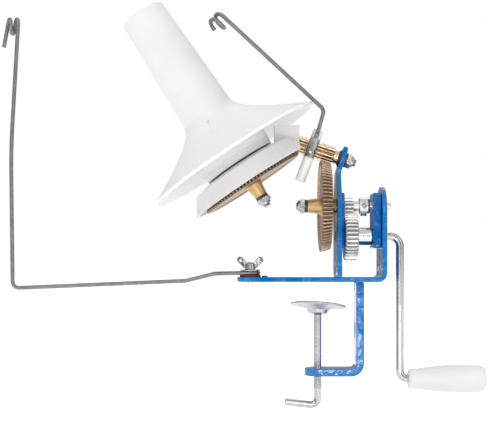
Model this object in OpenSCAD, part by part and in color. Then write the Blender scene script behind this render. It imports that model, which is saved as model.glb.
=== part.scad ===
// Table-clamp yarn ball winder: a crank drives a spur pair, two large bevelled gears and one
// long pinion, which turn a slanted winding cone. The origin is on the underside of the base
// bar, on the clamp screw's axis. +Z is up, and +X runs from the yarn arm to the crank.

/* [Frame] */
// Thickness of the sheet steel of the base bar and both uprights
sheet_t = 3.5; // [3:0.1:4]
// Width of both uprights, across the winder
upright_w = 40; // [36:1:44]
// Width of the base bar's tongue, which carries the yarn arm
tongue_w = 20; // [18:1:24]
// Left face of the front upright
front_x = 13.5; // [13.2:0.1:13.8]
// Right face of the rear upright
rear_x = 50.5; // [50:0.1:52]
// Height of the rear upright above the bar's underside
rear_h = 72; // [70:1:76]
// Outer radius of the bend between the base bar and the rear upright
bar_bend_r = 6.5; // [5:0.5:8]
// Thickness of the bearing block on the rear upright
rear_block_t = 6; // [5:0.5:6]
// Thickness of the bearing block on the front upright
front_block_t = 2.5; // [2:0.1:2.6]
// Width of both bearing blocks
block_w = 26; // [22:1:30]

/* [Table clamp] */
// Thickness of the clamp's flat bar
clamp_t = 6; // [5:0.5:7]
// Width of the clamp's flat bar
clamp_w = 20; // [18:1:22]
// Left face of the clamp's upright
clamp_x = 28.4; // [27:0.2:30]
// Depth from the base bar's underside to the foot's underside
clamp_h = 71.2; // [68:0.2:80]
// Outer radius of the clamp's bend
clamp_bend_r = 9.5; // [8:0.5:12]
// Depth of the shallow seat in the base bar that takes the clamp bar's end
clamp_seat = 0.5; // [0.3:0.1:1]
// Diameter of the clamp screw's thread
screw_d = 6; // [5:0.5:8]
// Diameter of the pressure plate
plate_d = 43; // [38:1:46]
// Height of the pressure plate's rim below the base bar, as set in the photograph
plate_drop = 17.5; // [16:0.5:30]

/* [Crank] */
// Height of the crank shaft's axis
crank_z = 34.5; // [34:0.1:35]
// Diameter of the crank rod
rod_d = 6; // [5.5:0.1:6.4]
// Distance from the crank shaft's axis to the grip's axis
crank_throw = 108.2; // [90:0.5:120]
// Centre line of the crank's arm
arm_x = 62.5; // [60:0.5:66]
// Length of the grip
grip_l = 58.9; // [50:0.5:65]
// Largest diameter of the grip
grip_d = 20.5; // [18:0.5:24]

/* [Gear train] */
// Tooth count of the gear on the crank shaft
drive_teeth = 35; // [35]
// Tooth count of the pinion on the layshaft
lay_teeth = 11; // [11]
// Module of the spur pair
spur_module = 1; // [1]
// Tooth count of the upright bevelled gear on the layshaft
front_teeth = 74; // [74]
// Tooth count of the bevelled gear under the winding cone
cone_teeth = 86; // [86]
// Tooth count of the long pinion
idler_teeth = 14; // [14]
// Module of the bevelled gears and the long pinion
bevel_module = 0.9; // [0.9]
// Slope of the long pinion's axis
idler_slope = 18; // [18]
// Lean of the winding cone's spindle from upright
spindle_lean = 33.2; // [33.2]
// Middle of the upright bevelled gear's teeth
front_gear_x = 5.7; // [5.7]

/* [Winding cone] */
// Radius of the flare's rim
rim_r = 70.4; // [66:0.2:70.6]
// Radius of the tube at its top
tube_top_r = 17.1; // [15:0.1:19]
// Radius of the tube where the flare begins
tube_base_r = 20.6; // [20:0.1:22]
// Distance from the rim's plane to the tube's top
cone_h = 127.7; // [110:0.5:140]
// Wall thickness of the cone
cone_wall = 2.2; // [1.8:0.1:2.4]

/* [Yarn guides] */
// Diameter of both guide wires
wire_d = 3; // [2.6:0.1:3.2]
// Radius of the wire's centre line in both pigtail eyes
eye_r = 5.5; // [5:0.5:7]
// Distance between the two legs of a pigtail eye
eye_width = 10.3; // [9:0.1:12]
// Share of an eye's width that each pass over its top takes
eye_pass = 0.4; // [0.3:0.05:0.45]
// Lean of a pigtail's leg, as a share of its length
eye_lean = 0.13; // [0.1:0.01:0.2]
// Place of the stud that carries the yarn arm
stud_x = -51.3; // [-52:0.1:-50]

/* [Hidden] */
$fn = 64;

paint = [0.02, 0.42, 0.78];
zinc = [0.75, 0.76, 0.78];
bronze = [0.52, 0.40, 0.28];
brass = [0.80, 0.64, 0.34];
white = [0.94, 0.93, 0.93];
wire_grey = [0.48, 0.46, 0.46];

// Radial play of a shaft in its bore, and the play between sliding faces
running = 0.05;
end_play = 0.3;

rod_r = rod_d / 2;
shaft_r = 3;
bush_r = 4.5;
lay_z = crank_z + spur_module * (drive_teeth + lay_teeth) / 2;
rear_in_x = rear_x - sheet_t;
rear_block_x = rear_in_x - rear_block_t;
front_out_x = front_x + sheet_t;
front_block_x = front_out_x + front_block_t;
block_z0 = 25.4;
block_z1 = 67;

// The bevelled gears touch the long pinion along one straight line each
idler_r = bevel_module * idler_teeth / 2;
front_r = bevel_module * front_teeth / 2;
cone_r = bevel_module * cone_teeth / 2;
idler_z = lay_z + front_r + idler_r / cos(idler_slope);
cone_angle = 90 - idler_slope - spindle_lean;

// The long pinion's axis and the spindle's axis cross inside the cone's tube
cross_s = -93;
cross_x = front_gear_x + cross_s * cos(idler_slope);
cross_z = idler_z - cross_s * sin(idler_slope);
cone_gear_k = (cone_r + idler_r / cos(cone_angle)) / tan(cone_angle);

// Stations along the long pinion's axis, from the upright gear's middle, to the right
teeth_s0 = -28.2;
neck_s0 = -15.2;
neck_s1 = -7.2;
teeth_s1 = 6.8;
boss_s1 = 10.3;
ear_s = 13.65;
ear_r = 9.8;

// Stations along the spindle, below the crossing point
rim_k = 36;
hub_end_k = 43.9;
house_k = 44.9;
skirt_k = 60.5;
gear_top_k = 53.6;
gear_back_k = 62.6;
gear_hub_k = 72.6;
washer_t = 2;
nut_h = 5.4;

// Tooth forms
pressure = 25;
tooth_tip = 0.65;
slot_depth = 0.98;
slot_w = 1.62;
idler_tip = 0.7;

// The front bevelled gear's face
front_face = 7.6;
front_x0 = front_gear_x - front_face / 2;
front_x1 = front_gear_x + front_face / 2;
front_hub_x = -7.8;

// The cone gear's face, measured along the spindle
cone_face = 6.4;
cone_k0 = cone_gear_k - cone_face / 2;
cone_k1 = cone_gear_k + cone_face / 2;

// The guide holder: its tube stands before the pinion and leans a little more than square
holder_s = (neck_s0 + neck_s1) / 2;
holder_y = -14;
holder_lean = 2;
holder_up = 13;
holder_down = 27;
holder_r = 3.8;
sleeve_r = 2.6;

// Yarn arm heights above the bar
fibre_t = 1.7;
arm_wire_z = sheet_t + fibre_t + wire_d / 2;
arm_eye_r = 6.3;

function unit(v) = v / norm(v);
function polar(r, a) = [r * cos(a), r * sin(a)];
function turn_of(a, b, c) = acos(unit(b - a) * unit(c - b));
function inner_normal(a, b, c) =
    let (u = unit(b - a), v = unit(c - b)) unit(v - u * (u * v));
function lead_of(points, i, bend) =
    bend * tan(turn_of(points[i - 1], points[i], points[i + 1]) / 2);

// The points of one rounded corner, and of a path with all its corners rounded
function arc_points(a, b, c, bend) =
    let (
        u = unit(b - a),
        n = inner_normal(a, b, c),
        turn = turn_of(a, b, c),
        centre = b - u * bend * tan(turn / 2) + n * bend,
        count = max(2, ceil(turn / 15))
    )
    [for (k = [0:count])
        centre - n * bend * cos(turn * k / count) + u * bend * sin(turn * k / count)];
function rounded_path(points, bends) = [
    points[0],
    for (i = [1:len(points) - 2])
        each arc_points(points[i - 1], points[i], points[i + 1], bends[i - 1]),
    points[len(points) - 1],
];

// Share of a bend that is done, with a smooth start and end
function eased(t) = let(s = min(1, max(0, t))) s * s * (3 - 2 * s);

// Share of an eye's width at a turn: the wire leans over at both passes of the top, and is
// nearly a flat ring between them
function eye_share(turn) =
    eye_pass * (eased(turn / 180) + eased((turn - 360) / 180))
        + (1 - 2 * eye_pass) * turn / 540;

// One and a half turns of wire, which leave the straight wire smoothly
function pigtail(start, along, side, advance, leg) = [
    for (turn = [20:20:540])
        start + side * eye_r * (1 - cos(turn)) + along * eye_r * sin(turn)
            + advance * eye_width * eye_share(turn),
    start + side * eye_r * 2 + advance * (eye_width + leg * eye_lean) - along * leg,
];

// A normal at each point of a path, carried along it without twisting
function path_tangent(p, i) = unit(p[min(i + 1, len(p) - 1)] - p[max(i - 1, 0)]);
function square_to(v, t) = unit(v - t * (v * t));
function carried(normals, p, i) =
    i == len(p)
        ? normals
        : carried(
            concat(normals, [square_to(normals[i - 1], path_tangent(p, i))]), p, i + 1);

// A round wire swept along a path of points
module swept_wire(p, radius, sides = 10) {
    normals = carried([square_to([0.1, 1, 0.2], path_tangent(p, 0))], p, 1);
    rings = len(p);
    points = [
        for (i = [0:rings - 1], k = [0:sides - 1])
            p[i] + radius * (cos(360 * k / sides) * normals[i]
                + sin(360 * k / sides) * cross(path_tangent(p, i), normals[i])),
        p[0],
        p[rings - 1],
    ];
    first = rings * sides;
    faces = [
        for (i = [0:rings - 2], k = [0:sides - 1])
            let (a = i * sides + k, b = i * sides + (k + 1) % sides)
            each [[a, a + sides, b], [b, a + sides, b + sides]],
        for (k = [0:sides - 1]) [first, k, (k + 1) % sides],
        for (k = [0:sides - 1])
            [first + 1, (rings - 1) * sides + (k + 1) % sides, (rings - 1) * sides + k],
    ];
    polyhedron(points, faces);
}

// A straight rod between two points
module rod_between(a, b, radius) {
    d = b - a;
    translate(a)
        rotate([0, acos(d.z / norm(d)), atan2(d.y, d.x)])
            cylinder(h = norm(d), r = radius);
}

// A quarter or other part of a ring that joins two straight rods
module elbow(a, b, c, radius, bend) {
    u = unit(b - a);
    n = inner_normal(a, b, c);
    turn = turn_of(a, b, c);
    centre = b - u * bend * tan(turn / 2) + n * bend;
    z = cross(-n, u);
    multmatrix([
        [-n.x, u.x, z.x, centre.x],
        [-n.y, u.y, z.y, centre.y],
        [-n.z, u.z, z.z, centre.z],
        [0, 0, 0, 1],
    ])
        rotate_extrude(angle = turn)
            translate([bend, 0]) circle(r = radius);
}

// A round rod through a list of points, bent at each inner one
module bent_rod(points, radius, bends) {
    last = len(points) - 1;
    for (i = [0:last - 1]) {
        u = unit(points[i + 1] - points[i]);
        lead = i == 0 ? 0 : lead_of(points, i, bends[i - 1]);
        tail = i == last - 1 ? 0 : lead_of(points, i + 1, bends[i]);
        rod_between(points[i] + u * lead, points[i + 1] - u * tail, radius);
    }
    for (i = [1:last - 1])
        elbow(points[i - 1], points[i], points[i + 1], radius, bends[i - 1]);
}

// Frames of the three slanted or level axes
module on_x_axis(z, x = 0) {
    translate([x, 0, z]) rotate([0, 90, 0]) children();
}
module on_idler_axis(s = 0) {
    translate([front_gear_x, 0, idler_z])
        rotate([0, 90 + idler_slope, 0])
            translate([0, 0, s]) children();
}
module on_spindle_axis(k = 0) {
    translate([cross_x, 0, cross_z])
        rotate([0, -spindle_lean, 0])
            translate([0, 0, -k]) children();
}
module in_holder() {
    on_idler_axis(holder_s)
        translate([0, holder_y, 0])
            rotate([0, -90 + holder_lean, 0]) children();
}

module ring(outer, inner, h) {
    difference() {
        cylinder(h = h, r = outer);
        translate([0, 0, -1]) cylinder(h = h + 2, r = inner);
    }
}

// A lock nut: a hexagon with a round collar at its far end
module lock_nut(across_flats, bore, h) {
    hex_h = h * 0.72;
    difference() {
        union() {
            cylinder(h = hex_h, d = across_flats / cos(30), $fn = 6);
            cylinder(h = h, d = across_flats * 0.88);
        }
        translate([0, 0, -1]) cylinder(h = h + 2, r = bore);
    }
}

// Involute tooth outline: the angle that the involute has turned at radius r
function involute(base, r) =
    r <= base ? 0 : let (c = acos(base / r)) tan(c) * 180 / PI - c;
function gear_outline(teeth, pitch_r, tip, root, thickness) =
    let (
        base = pitch_r * cos(pressure),
        half = thickness / (2 * pitch_r) * 180 / PI + involute(base, pitch_r),
        low = max(base, root),
        radii = [root, low + (tip - low) * 0.3, low + (tip - low) * 0.65, tip]
    )
    [for (t = [0:teeth - 1])
        let (mid = 360 * t / teeth)
        each concat(
            [for (r = radii) polar(r, mid - half + involute(base, r))],
            [for (k = [3:-1:0]) polar(radii[k], mid + half - involute(base, radii[k]))])];

// Tooth gaps cut along the straight lines of a conical gear face
module cone_slots(count, radius, height, slope, length) {
    side = tan(pressure);
    top = 1.3;
    for (i = [0:count - 1])
        rotate([0, 0, 360 * i / count])
            translate([radius, 0, height])
                rotate([0, slope, 0])
                    linear_extrude(height = length, center = true)
                        polygon([
                            [-slot_depth, -slot_w / 2 + slot_depth * side],
                            [top, -slot_w / 2 - top * side],
                            [top, slot_w / 2 + top * side],
                            [-slot_depth, slot_w / 2 - slot_depth * side],
                        ]);
}

// Flat outline of an upright with a round top, in the plane across the winder
module rear_outline() {
    half = upright_w / 2;
    translate([-half, 0]) square([upright_w, rear_h - half - bar_bend_r]);
    translate([0, rear_h - half - bar_bend_r]) circle(r = half);
}

module block_outline() {
    corner = 2;
    h = block_z1 - block_z0;
    translate([-block_w / 2 + corner, 0]) square([block_w - 2 * corner, h]);
    translate([-block_w / 2, corner]) square([block_w, h - 2 * corner]);
    for (y = [-1, 1], z = [corner, h - corner])
        translate([y * (block_w / 2 - corner), z]) circle(r = corner);
}

// Both bearing holes, through everything between two stations
module bearing_holes(x0, x1) {
    for (z = [crank_z, lay_z])
        on_x_axis(z, x0) cylinder(h = x1 - x0, r = bush_r);
}

module base_bar() {
    wide_x = 8;
    narrow_x = -6;
    bend_x = rear_x - bar_bend_r;
    color(paint)
        difference() {
            union() {
                translate([stud_x, 0, 0]) cylinder(h = sheet_t, d = tongue_w);
                linear_extrude(height = sheet_t)
                    polygon([
                        [stud_x, -tongue_w / 2], [narrow_x, -tongue_w / 2],
                        [wide_x, -upright_w / 2], [bend_x, -upright_w / 2],
                        [bend_x, upright_w / 2], [wide_x, upright_w / 2],
                        [narrow_x, tongue_w / 2], [stud_x, tongue_w / 2],
                    ]);
                translate([bend_x, upright_w / 2, bar_bend_r])
                    rotate([90, 0, 0])
                        difference() {
                            intersection() {
                                cylinder(h = upright_w, r = bar_bend_r);
                                translate([0, -bar_bend_r, 0])
                                    cube([bar_bend_r, bar_bend_r, upright_w]);
                            }
                            translate([0, 0, -1])
                                cylinder(h = upright_w + 2, r = bar_bend_r - sheet_t);
                        }
                translate([rear_in_x, 0, bar_bend_r])
                    rotate([90, 0, 90])
                        linear_extrude(height = sheet_t) rear_outline();
            }
            bearing_holes(rear_in_x - 1, rear_x + 1);
            translate([stud_x, 0, -1]) cylinder(h = sheet_t + 2, r = 2.5);
            translate([clamp_x - running, -clamp_w / 2 - running, -1])
                cube([clamp_t + 2 * running, clamp_w + 2 * running, 1 + clamp_seat]);
        }
}

module front_upright() {
    inner = 8;
    middle = inner + sheet_t / 2;
    bend_x = front_out_x + inner;
    bend_z = idler_z
        - (ear_s + middle - (bend_x - front_gear_x) * cos(idler_slope)) / sin(idler_slope);
    full_z = 62;
    ear_w = 2 * ear_r;
    end_x = bend_x - middle * cos(idler_slope);
    end_z = bend_z + middle * sin(idler_slope);
    ear_l = (idler_z - end_z) * cos(idler_slope) - (end_x - front_gear_x) * sin(idler_slope);
    color(paint)
        difference() {
            union() {
                translate([front_x, 0, 0])
                    rotate([90, 0, 90])
                        linear_extrude(height = sheet_t)
                            polygon([
                                [-upright_w / 2, sheet_t], [upright_w / 2, sheet_t],
                                [upright_w / 2, full_z], [ear_r, bend_z],
                                [-ear_r, bend_z], [-upright_w / 2, full_z],
                            ]);
                translate([bend_x, ear_r, bend_z])
                    rotate([90, 180, 0])
                        rotate([0, 0, -idler_slope])
                            ear_bend(inner, inner + sheet_t, ear_w);
                on_idler_axis(ear_s - sheet_t / 2) {
                    cylinder(h = sheet_t, r = ear_r);
                    translate([0, -ear_r, 0]) cube([ear_l, ear_w, sheet_t]);
                }
            }
            bearing_holes(front_x - 1, front_out_x + 1);
            on_idler_axis(ear_s - sheet_t) cylinder(h = 2 * sheet_t, r = shaft_r);
        }
}

// The part of a ring between the bend's two ends
module ear_bend(inner, outer, h) {
    intersection() {
        difference() {
            cylinder(h = h, r = outer);
            translate([0, 0, -1]) cylinder(h = h + 2, r = inner);
        }
        linear_extrude(height = h)
            polygon([[0, 0], [2 * outer, 0], [2 * outer, 2 * outer * tan(idler_slope)]]);
    }
}

module rear_bearing_block() {
    color(paint)
        difference() {
            translate([rear_block_x, 0, block_z0])
                rotate([90, 0, 90])
                    linear_extrude(height = rear_block_t) block_outline();
            bearing_holes(rear_block_x - 1, rear_in_x + 1);
        }
}

module front_bearing_block() {
    color(paint)
        difference() {
            translate([front_out_x, 0, block_z0])
                rotate([90, 0, 90])
                    linear_extrude(height = front_block_t) block_outline();
            bearing_holes(front_out_x - 1, front_block_x + 1);
        }
}

module clamp_arm() {
    r = clamp_bend_r;
    right = clamp_x + clamp_t;
    color(paint)
        difference() {
            union() {
                translate([clamp_x, -clamp_w / 2, -clamp_h + r])
                    cube([clamp_t, clamp_w, clamp_h - r + clamp_seat]);
                translate([right - r, clamp_w / 2, -clamp_h + r])
                    rotate([90, 0, 0])
                        difference() {
                            intersection() {
                                cylinder(h = clamp_w, r = r);
                                translate([0, -r, 0]) cube([r, r, clamp_w]);
                            }
                            translate([0, 0, -1]) cylinder(h = clamp_w + 2, r = r - clamp_t);
                        }
                translate([0, -clamp_w / 2, -clamp_h])
                    cube([right - r, clamp_w, clamp_t]);
                translate([0, 0, -clamp_h]) cylinder(h = clamp_t, d = clamp_w);
            }
            translate([0, 0, -clamp_h - 1])
                cylinder(h = clamp_t + 2, r = screw_d / 2 + running);
        }
}

module stop_rivet() {
    color(paint)
        translate([-40.3, 0, sheet_t]) {
            cylinder(h = 0.6, r = 2.3);
            translate([0, 0, 0.6]) cylinder(h = 0.6, r1 = 2.3, r2 = 1.3);
        }
}

module front_bushes() {
    color(bronze) {
        on_x_axis(crank_z, front_x)
            ring(bush_r, rod_r + running, front_block_x - front_x);
        on_x_axis(lay_z, front_x)
            ring(bush_r, shaft_r + running, front_block_x - front_x);
        on_x_axis(lay_z, front_x - 1.4) ring(6, shaft_r + running, 1.4);
    }
}

module rear_bushes() {
    color(bronze) {
        on_x_axis(crank_z, rear_block_x)
            ring(bush_r, rod_r + running, rear_x - rear_block_x);
        on_x_axis(lay_z, rear_block_x)
            ring(bush_r, shaft_r + running, rear_x - rear_block_x);
    }
}

grip_z = crank_z - crank_throw;
grip_x = 68.8;
grip_rod_end = 43.5;

module crank_rod() {
    color(zinc)
        bent_rod(
            [
                [front_x + 0.3, 0, crank_z], [arm_x, 0, crank_z],
                [arm_x, 0, grip_z], [grip_x + grip_rod_end, 0, grip_z],
            ],
            rod_r, [7.6, 5.8]);
}

gear_x = 20;
drive_face = 9.8;
lay_face = 7.2;

module drive_gear() {
    pitch_r = spur_module * drive_teeth / 2;
    color(zinc)
        on_x_axis(crank_z, gear_x)
            rotate([0, 0, 180])
                difference() {
                    linear_extrude(height = drive_face)
                        polygon(gear_outline(drive_teeth, pitch_r, 18.2, 16.2, 1.4));
                    translate([0, 0, -1]) cylinder(h = drive_face + 2, r = rod_r);
                }
}

module drive_sleeve() {
    color(zinc)
        on_x_axis(crank_z, gear_x + drive_face)
            ring(7.2, rod_r, rear_block_x - 0.2 - gear_x - drive_face);
}

// Outline of the grip's half section, from its inner end to its round outer end
module crank_grip() {
    big = grip_d / 2;
    nose = 6;
    full_z = 27;
    color(white)
        on_x_axis(grip_z, grip_x)
            difference() {
                rotate_extrude()
                    polygon([
                        [0, 0], [6.6, 0], [7.45, 0.9], [7.9, 6], [8.6, 13],
                        [9.6, 20.5], [big, full_z], [big, grip_l - nose],
                        for (a = [15:15:90])
                            [big - nose + nose * cos(a), grip_l - nose + nose * sin(a)],
                        [0, grip_l],
                    ]);
                translate([0, 0, -1]) cylinder(h = 47, r = rod_r + 0.08);
                translate([0, 0, 40.5]) cylinder(h = 3.4, r = 5.2);
            }
}

module grip_ring() {
    color(zinc) on_x_axis(grip_z, grip_x + 41.4) ring(4.8, rod_r, 1.2);
}

lay_x0 = -16.2;
lay_x1 = 52.8;

module layshaft() {
    color(zinc) on_x_axis(lay_z, lay_x0) cylinder(h = lay_x1 - lay_x0, r = shaft_r);
}

collar_x = 31.4;
collar_l = 6.9;

module layshaft_pinion() {
    pitch_r = spur_module * lay_teeth / 2;
    color(zinc)
        on_x_axis(lay_z, gear_x)
            difference() {
                union() {
                    rotate([0, 0, 180 / lay_teeth])
                        linear_extrude(height = lay_face)
                            polygon(gear_outline(lay_teeth, pitch_r, 6.4, 4.35, 1.4));
                    cylinder(h = collar_x - gear_x, r = 4);
                }
                translate([0, 0, -1]) cylinder(h = 20, r = shaft_r);
            }
}

module shaft_collar() {
    color(zinc)
        difference() {
            on_x_axis(lay_z, collar_x) ring(6.4, shaft_r, collar_l);
            collar_screw_places() translate([0, 0, -1]) cylinder(h = 8, r = 1.5);
        }
}

// Two set screws, one towards the front and one below
module collar_screw_places() {
    for (angle = [90, 180])
        translate([collar_x + collar_l / 2, 0, lay_z])
            rotate([angle, 0, 0]) translate([0, 0, shaft_r]) children();
}

module collar_screws() {
    color(zinc)
        collar_screw_places()
            difference() {
                union() {
                    cylinder(h = 4.4, r = 1.5);
                    translate([0, 0, 3.45]) cylinder(h = 1.15, r = 2.3);
                }
                translate([0, 0, 3.6]) cylinder(h = 2, r = 1, $fn = 6);
            }
}

module collar_washer() {
    color([0.2, 0.2, 0.22]) on_x_axis(lay_z, collar_x + collar_l) ring(5.6, shaft_r, 1);
}

module front_gear() {
    tip0 = front_r + front_face / 2 * tan(idler_slope) + tooth_tip * cos(idler_slope);
    tip1 = front_r - front_face / 2 * tan(idler_slope) + tooth_tip * cos(idler_slope);
    color(bronze)
        on_x_axis(lay_z)
            difference() {
                rotate_extrude($fn = 96)
                    polygon([
                        [shaft_r, front_hub_x], [4.9, front_hub_x], [6.1, 1],
                        [7.5, 3.2], [28.6, 3.2], [30, front_x0], [tip0, front_x0],
                        [tip1, front_x1], [28.6, front_x1], [27.6, 7.4], [7, 7.4],
                        [6.4, 11.7], [shaft_r, 11.7],
                    ]);
                cone_slots(front_teeth, front_r, front_gear_x, -idler_slope, 11);
            }
}

module front_gear_washer() {
    color([0.2, 0.2, 0.22]) on_x_axis(lay_z, front_hub_x - washer_t) ring(4.9, shaft_r, washer_t);
}

module front_gear_nut() {
    color(zinc)
        on_x_axis(lay_z, front_hub_x - washer_t)
            mirror([0, 0, 1]) lock_nut(9.6, shaft_r, nut_h);
}

module idler_pinion() {
    tip = idler_r + idler_tip;
    root = idler_r - 1.1;
    outline = gear_outline(idler_teeth, idler_r, tip, root, 1.2);
    color(brass)
        on_idler_axis()
            difference() {
                union() {
                    translate([0, 0, teeth_s0])
                        linear_extrude(height = neck_s0 - teeth_s0) polygon(outline);
                    translate([0, 0, neck_s1])
                        linear_extrude(height = teeth_s1 - neck_s1) polygon(outline);
                    translate([0, 0, teeth_s0]) cylinder(h = boss_s1 - teeth_s0, r = 4.6);
                    translate([0, 0, teeth_s1]) cylinder(h = boss_s1 - teeth_s1, r = 5.1);
                }
                translate([0, 0, teeth_s0 - 1])
                    cylinder(h = boss_s1 - teeth_s0 + 2, r = shaft_r + running);
            }
}

bolt_s0 = -34;
bolt_s1 = 24.5;

module idler_bolt() {
    color(zinc) on_idler_axis(bolt_s0) cylinder(h = bolt_s1 - bolt_s0, r = shaft_r);
}

module idler_washers() {
    ear_s0 = ear_s - sheet_t / 2;
    ear_s1 = ear_s + sheet_t / 2;
    color([0.2, 0.2, 0.22]) {
        on_idler_axis(boss_s1 + 0.1) ring(5.9, shaft_r, 0.8);
        on_idler_axis(boss_s1 + 0.9) ring(6.6, shaft_r, ear_s0 - boss_s1 - 0.9);
        on_idler_axis(ear_s1) ring(5.6, shaft_r, 1.6);
    }
}

module idler_nut() {
    color(zinc) on_idler_axis(ear_s + sheet_t / 2 + 1.6) lock_nut(9.6, shaft_r, nut_h);
}

// The housing's inner space, where the cone gear turns
module housing_hollow() {
    on_spindle_axis()
        rotate_extrude($fn = 96)
            polygon([
                [0, -47.4], [30.2, -47.4], [40.2, -49.8], [47.8, -60.6],
                [48.6, -64], [0, -64],
            ]);
}

module cone_housing() {
    box_x0 = -33;
    box_x1 = -14.4;
    box_w = 19;
    boss_s0 = -35;
    boss_s1 = teeth_s0 - end_play;
    color(white) {
        difference() {
            union() {
                difference() {
                    union() {
                        on_spindle_axis()
                            rotate_extrude($fn = 96)
                                polygon([
                                    [0, -house_k], [31, -house_k], [42, -47.3],
                                    [50.2, -skirt_k], [0, -skirt_k],
                                ]);
                        translate([box_x0, -box_w / 2, 97])
                            cube([box_x1 - box_x0, box_w, 21]);
                    }
                    housing_hollow();
                }
                on_spindle_axis(gear_top_k - 0.3)
                    cylinder(h = gear_top_k - 0.3 - house_k, r = 9);
                on_idler_axis(boss_s0) cylinder(h = boss_s1 - boss_s0, r = 5.6);
            }
            translate([box_x1, -60, 60]) cube([60, 120, 80]);
            on_idler_axis(boss_s1) cylinder(h = 40, r = idler_r + idler_tip + 0.9);
            on_idler_axis(boss_s0 - 1) cylinder(h = 12, r = shaft_r);
            on_spindle_axis(gear_top_k) cylinder(h = 20, r = 6);
        }
    }
}

module spindle_bush() {
    color(bronze) on_spindle_axis(gear_top_k - 0.3)
        ring(6, 4 + running, gear_top_k - 0.3 - house_k);
}

spindle_top_k = 22;
spindle_end_k = 82;

module spindle() {
    color(zinc)
        on_spindle_axis()
            union() {
                translate([0, 0, -gear_top_k])
                    cylinder(h = gear_top_k - spindle_top_k, r = 4);
                translate([0, 0, -spindle_end_k])
                    cylinder(h = spindle_end_k - gear_top_k, r = shaft_r);
                translate([0, 0, -hub_end_k - 0.7]) cylinder(h = 0.7, r = 7);
            }
}

module cone_gear() {
    low = cone_face / 2 * tan(cone_angle);
    tip0 = cone_r - low + tooth_tip * cos(cone_angle);
    tip1 = cone_r + low + tooth_tip * cos(cone_angle);
    lift = tooth_tip * sin(cone_angle);
    color(bronze)
        on_spindle_axis()
            difference() {
                rotate_extrude($fn = 96)
                    polygon([
                        [shaft_r, -gear_top_k], [8, -gear_top_k], [8.6, -58.4],
                        [32.4, -58.4], [34.4, -cone_k0 + lift - 0.4],
                        [tip0, -cone_k0 + lift], [tip1, -cone_k1 + lift],
                        [tip1 - 0.8, -gear_back_k], [36, -gear_back_k],
                        [34.6, -61.6], [7.4, -61.6], [6.1, -63.4],
                        [4.9, -gear_hub_k], [shaft_r, -gear_hub_k],
                    ]);
                cone_slots(cone_teeth, cone_r, -cone_gear_k, -cone_angle, 12);
            }
}

module cone_gear_washer() {
    color([0.2, 0.2, 0.22])
        on_spindle_axis(gear_hub_k + washer_t) ring(4.9, shaft_r, washer_t);
}

module cone_gear_nut() {
    color(zinc)
        on_spindle_axis(gear_hub_k + washer_t) mirror([0, 0, 1]) lock_nut(9.6, shaft_r, nut_h);
}

// Half section of the flare: a curve that leaves the tube's side and opens to the rim
function flare_point(t, inset) =
    let (
        a = [tube_base_r - inset, -rim_k + 38],
        b = [21.5 - inset, -rim_k + 26 - inset],
        c = [rim_r - inset * 0.4, -rim_k + 2.2 - inset * 0.95]
    )
    a * (1 - t) * (1 - t) + b * 2 * t * (1 - t) + c * t * t;

module yarn_cone() {
    top = cone_h - rim_k;
    steps = 14;
    hub_r = 27.5;
    w = cone_wall;
    color(white)
        on_spindle_axis()
            difference() {
                union() {
                    rotate_extrude($fn = 96)
                        polygon([
                            [tube_top_r - w, top], [tube_top_r - 1, top], [tube_top_r, top - 1],
                            for (i = [0:steps]) flare_point(i / steps, 0),
                            [rim_r, -rim_k + 0.6],
                            for (i = [steps:-1:0]) flare_point(i / steps, w),
                        ]);
                    translate([0, 0, -hub_end_k])
                        ring(hub_r, hub_r - w, hub_end_k - 8.8);
                    translate([0, 0, -hub_end_k + 2]) cylinder(h = 3, r = hub_r - 1);
                    translate([0, 0, -hub_end_k]) cylinder(h = 12, r = 9);
                }
                translate([0, 0, -hub_end_k - 1]) cylinder(h = 20, r = 4);
            }
}

module cone_washer() {
    color(zinc) on_spindle_axis(hub_end_k - 12) ring(8, 4, 1.4);
}

module cone_nut() {
    color(zinc) on_spindle_axis(hub_end_k - 13.4) lock_nut(13, 4, 7);
}

// The clear holder: a tube before the pinion, a web, and the front half of a split ring
module guide_holder() {
    ring_l = neck_s1 - neck_s0 - 0.6;
    color([0.85, 0.88, 0.88, 0.6])
        difference() {
            union() {
                in_holder()
                    translate([0, 0, -holder_down])
                        cylinder(h = holder_down + holder_up, r = holder_r);
                on_idler_axis(holder_s - ring_l / 2) {
                    intersection() {
                        ring(6.8, 4.7, ring_l);
                        translate([-8, -8, 0]) cube([16, 8, ring_l]);
                    }
                    translate([-4, holder_y + 1, ring_l / 2 - 3]) cube([8, 8, 6]);
                    holder_ears(-3, 3, ring_l);
                }
            }
            in_holder()
                translate([0, 0, -holder_down - 1])
                    cylinder(h = holder_down + holder_up + 2, r = sleeve_r);
            holder_screw_places() cylinder(h = 20, r = 1.25, center = true);
            wire_screw_place() cylinder(h = 6, r = 1);
        }
}

// Flat ears above and below the split ring
module holder_ears(y0, thick, ring_l) {
    for (x = [-10.4, 6])
        translate([x, y0, ring_l / 2 - 3]) cube([4.4, thick, 6]);
}

module holder_strap() {
    ring_l = neck_s1 - neck_s0 - 0.6;
    color(zinc)
        difference() {
            on_idler_axis(holder_s - ring_l / 2) {
                intersection() {
                    ring(6.2, 4.7, ring_l);
                    translate([-8, 0, 0]) cube([16, 8, ring_l]);
                }
                holder_ears(0, 1.4, ring_l);
            }
            holder_screw_places() cylinder(h = 20, r = 1.25, center = true);
        }
}

module holder_screw_places() {
    for (x = [-8.6, 8.6])
        on_idler_axis(holder_s) translate([x, 0, 0]) rotate([90, 0, 0]) children();
}

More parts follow.
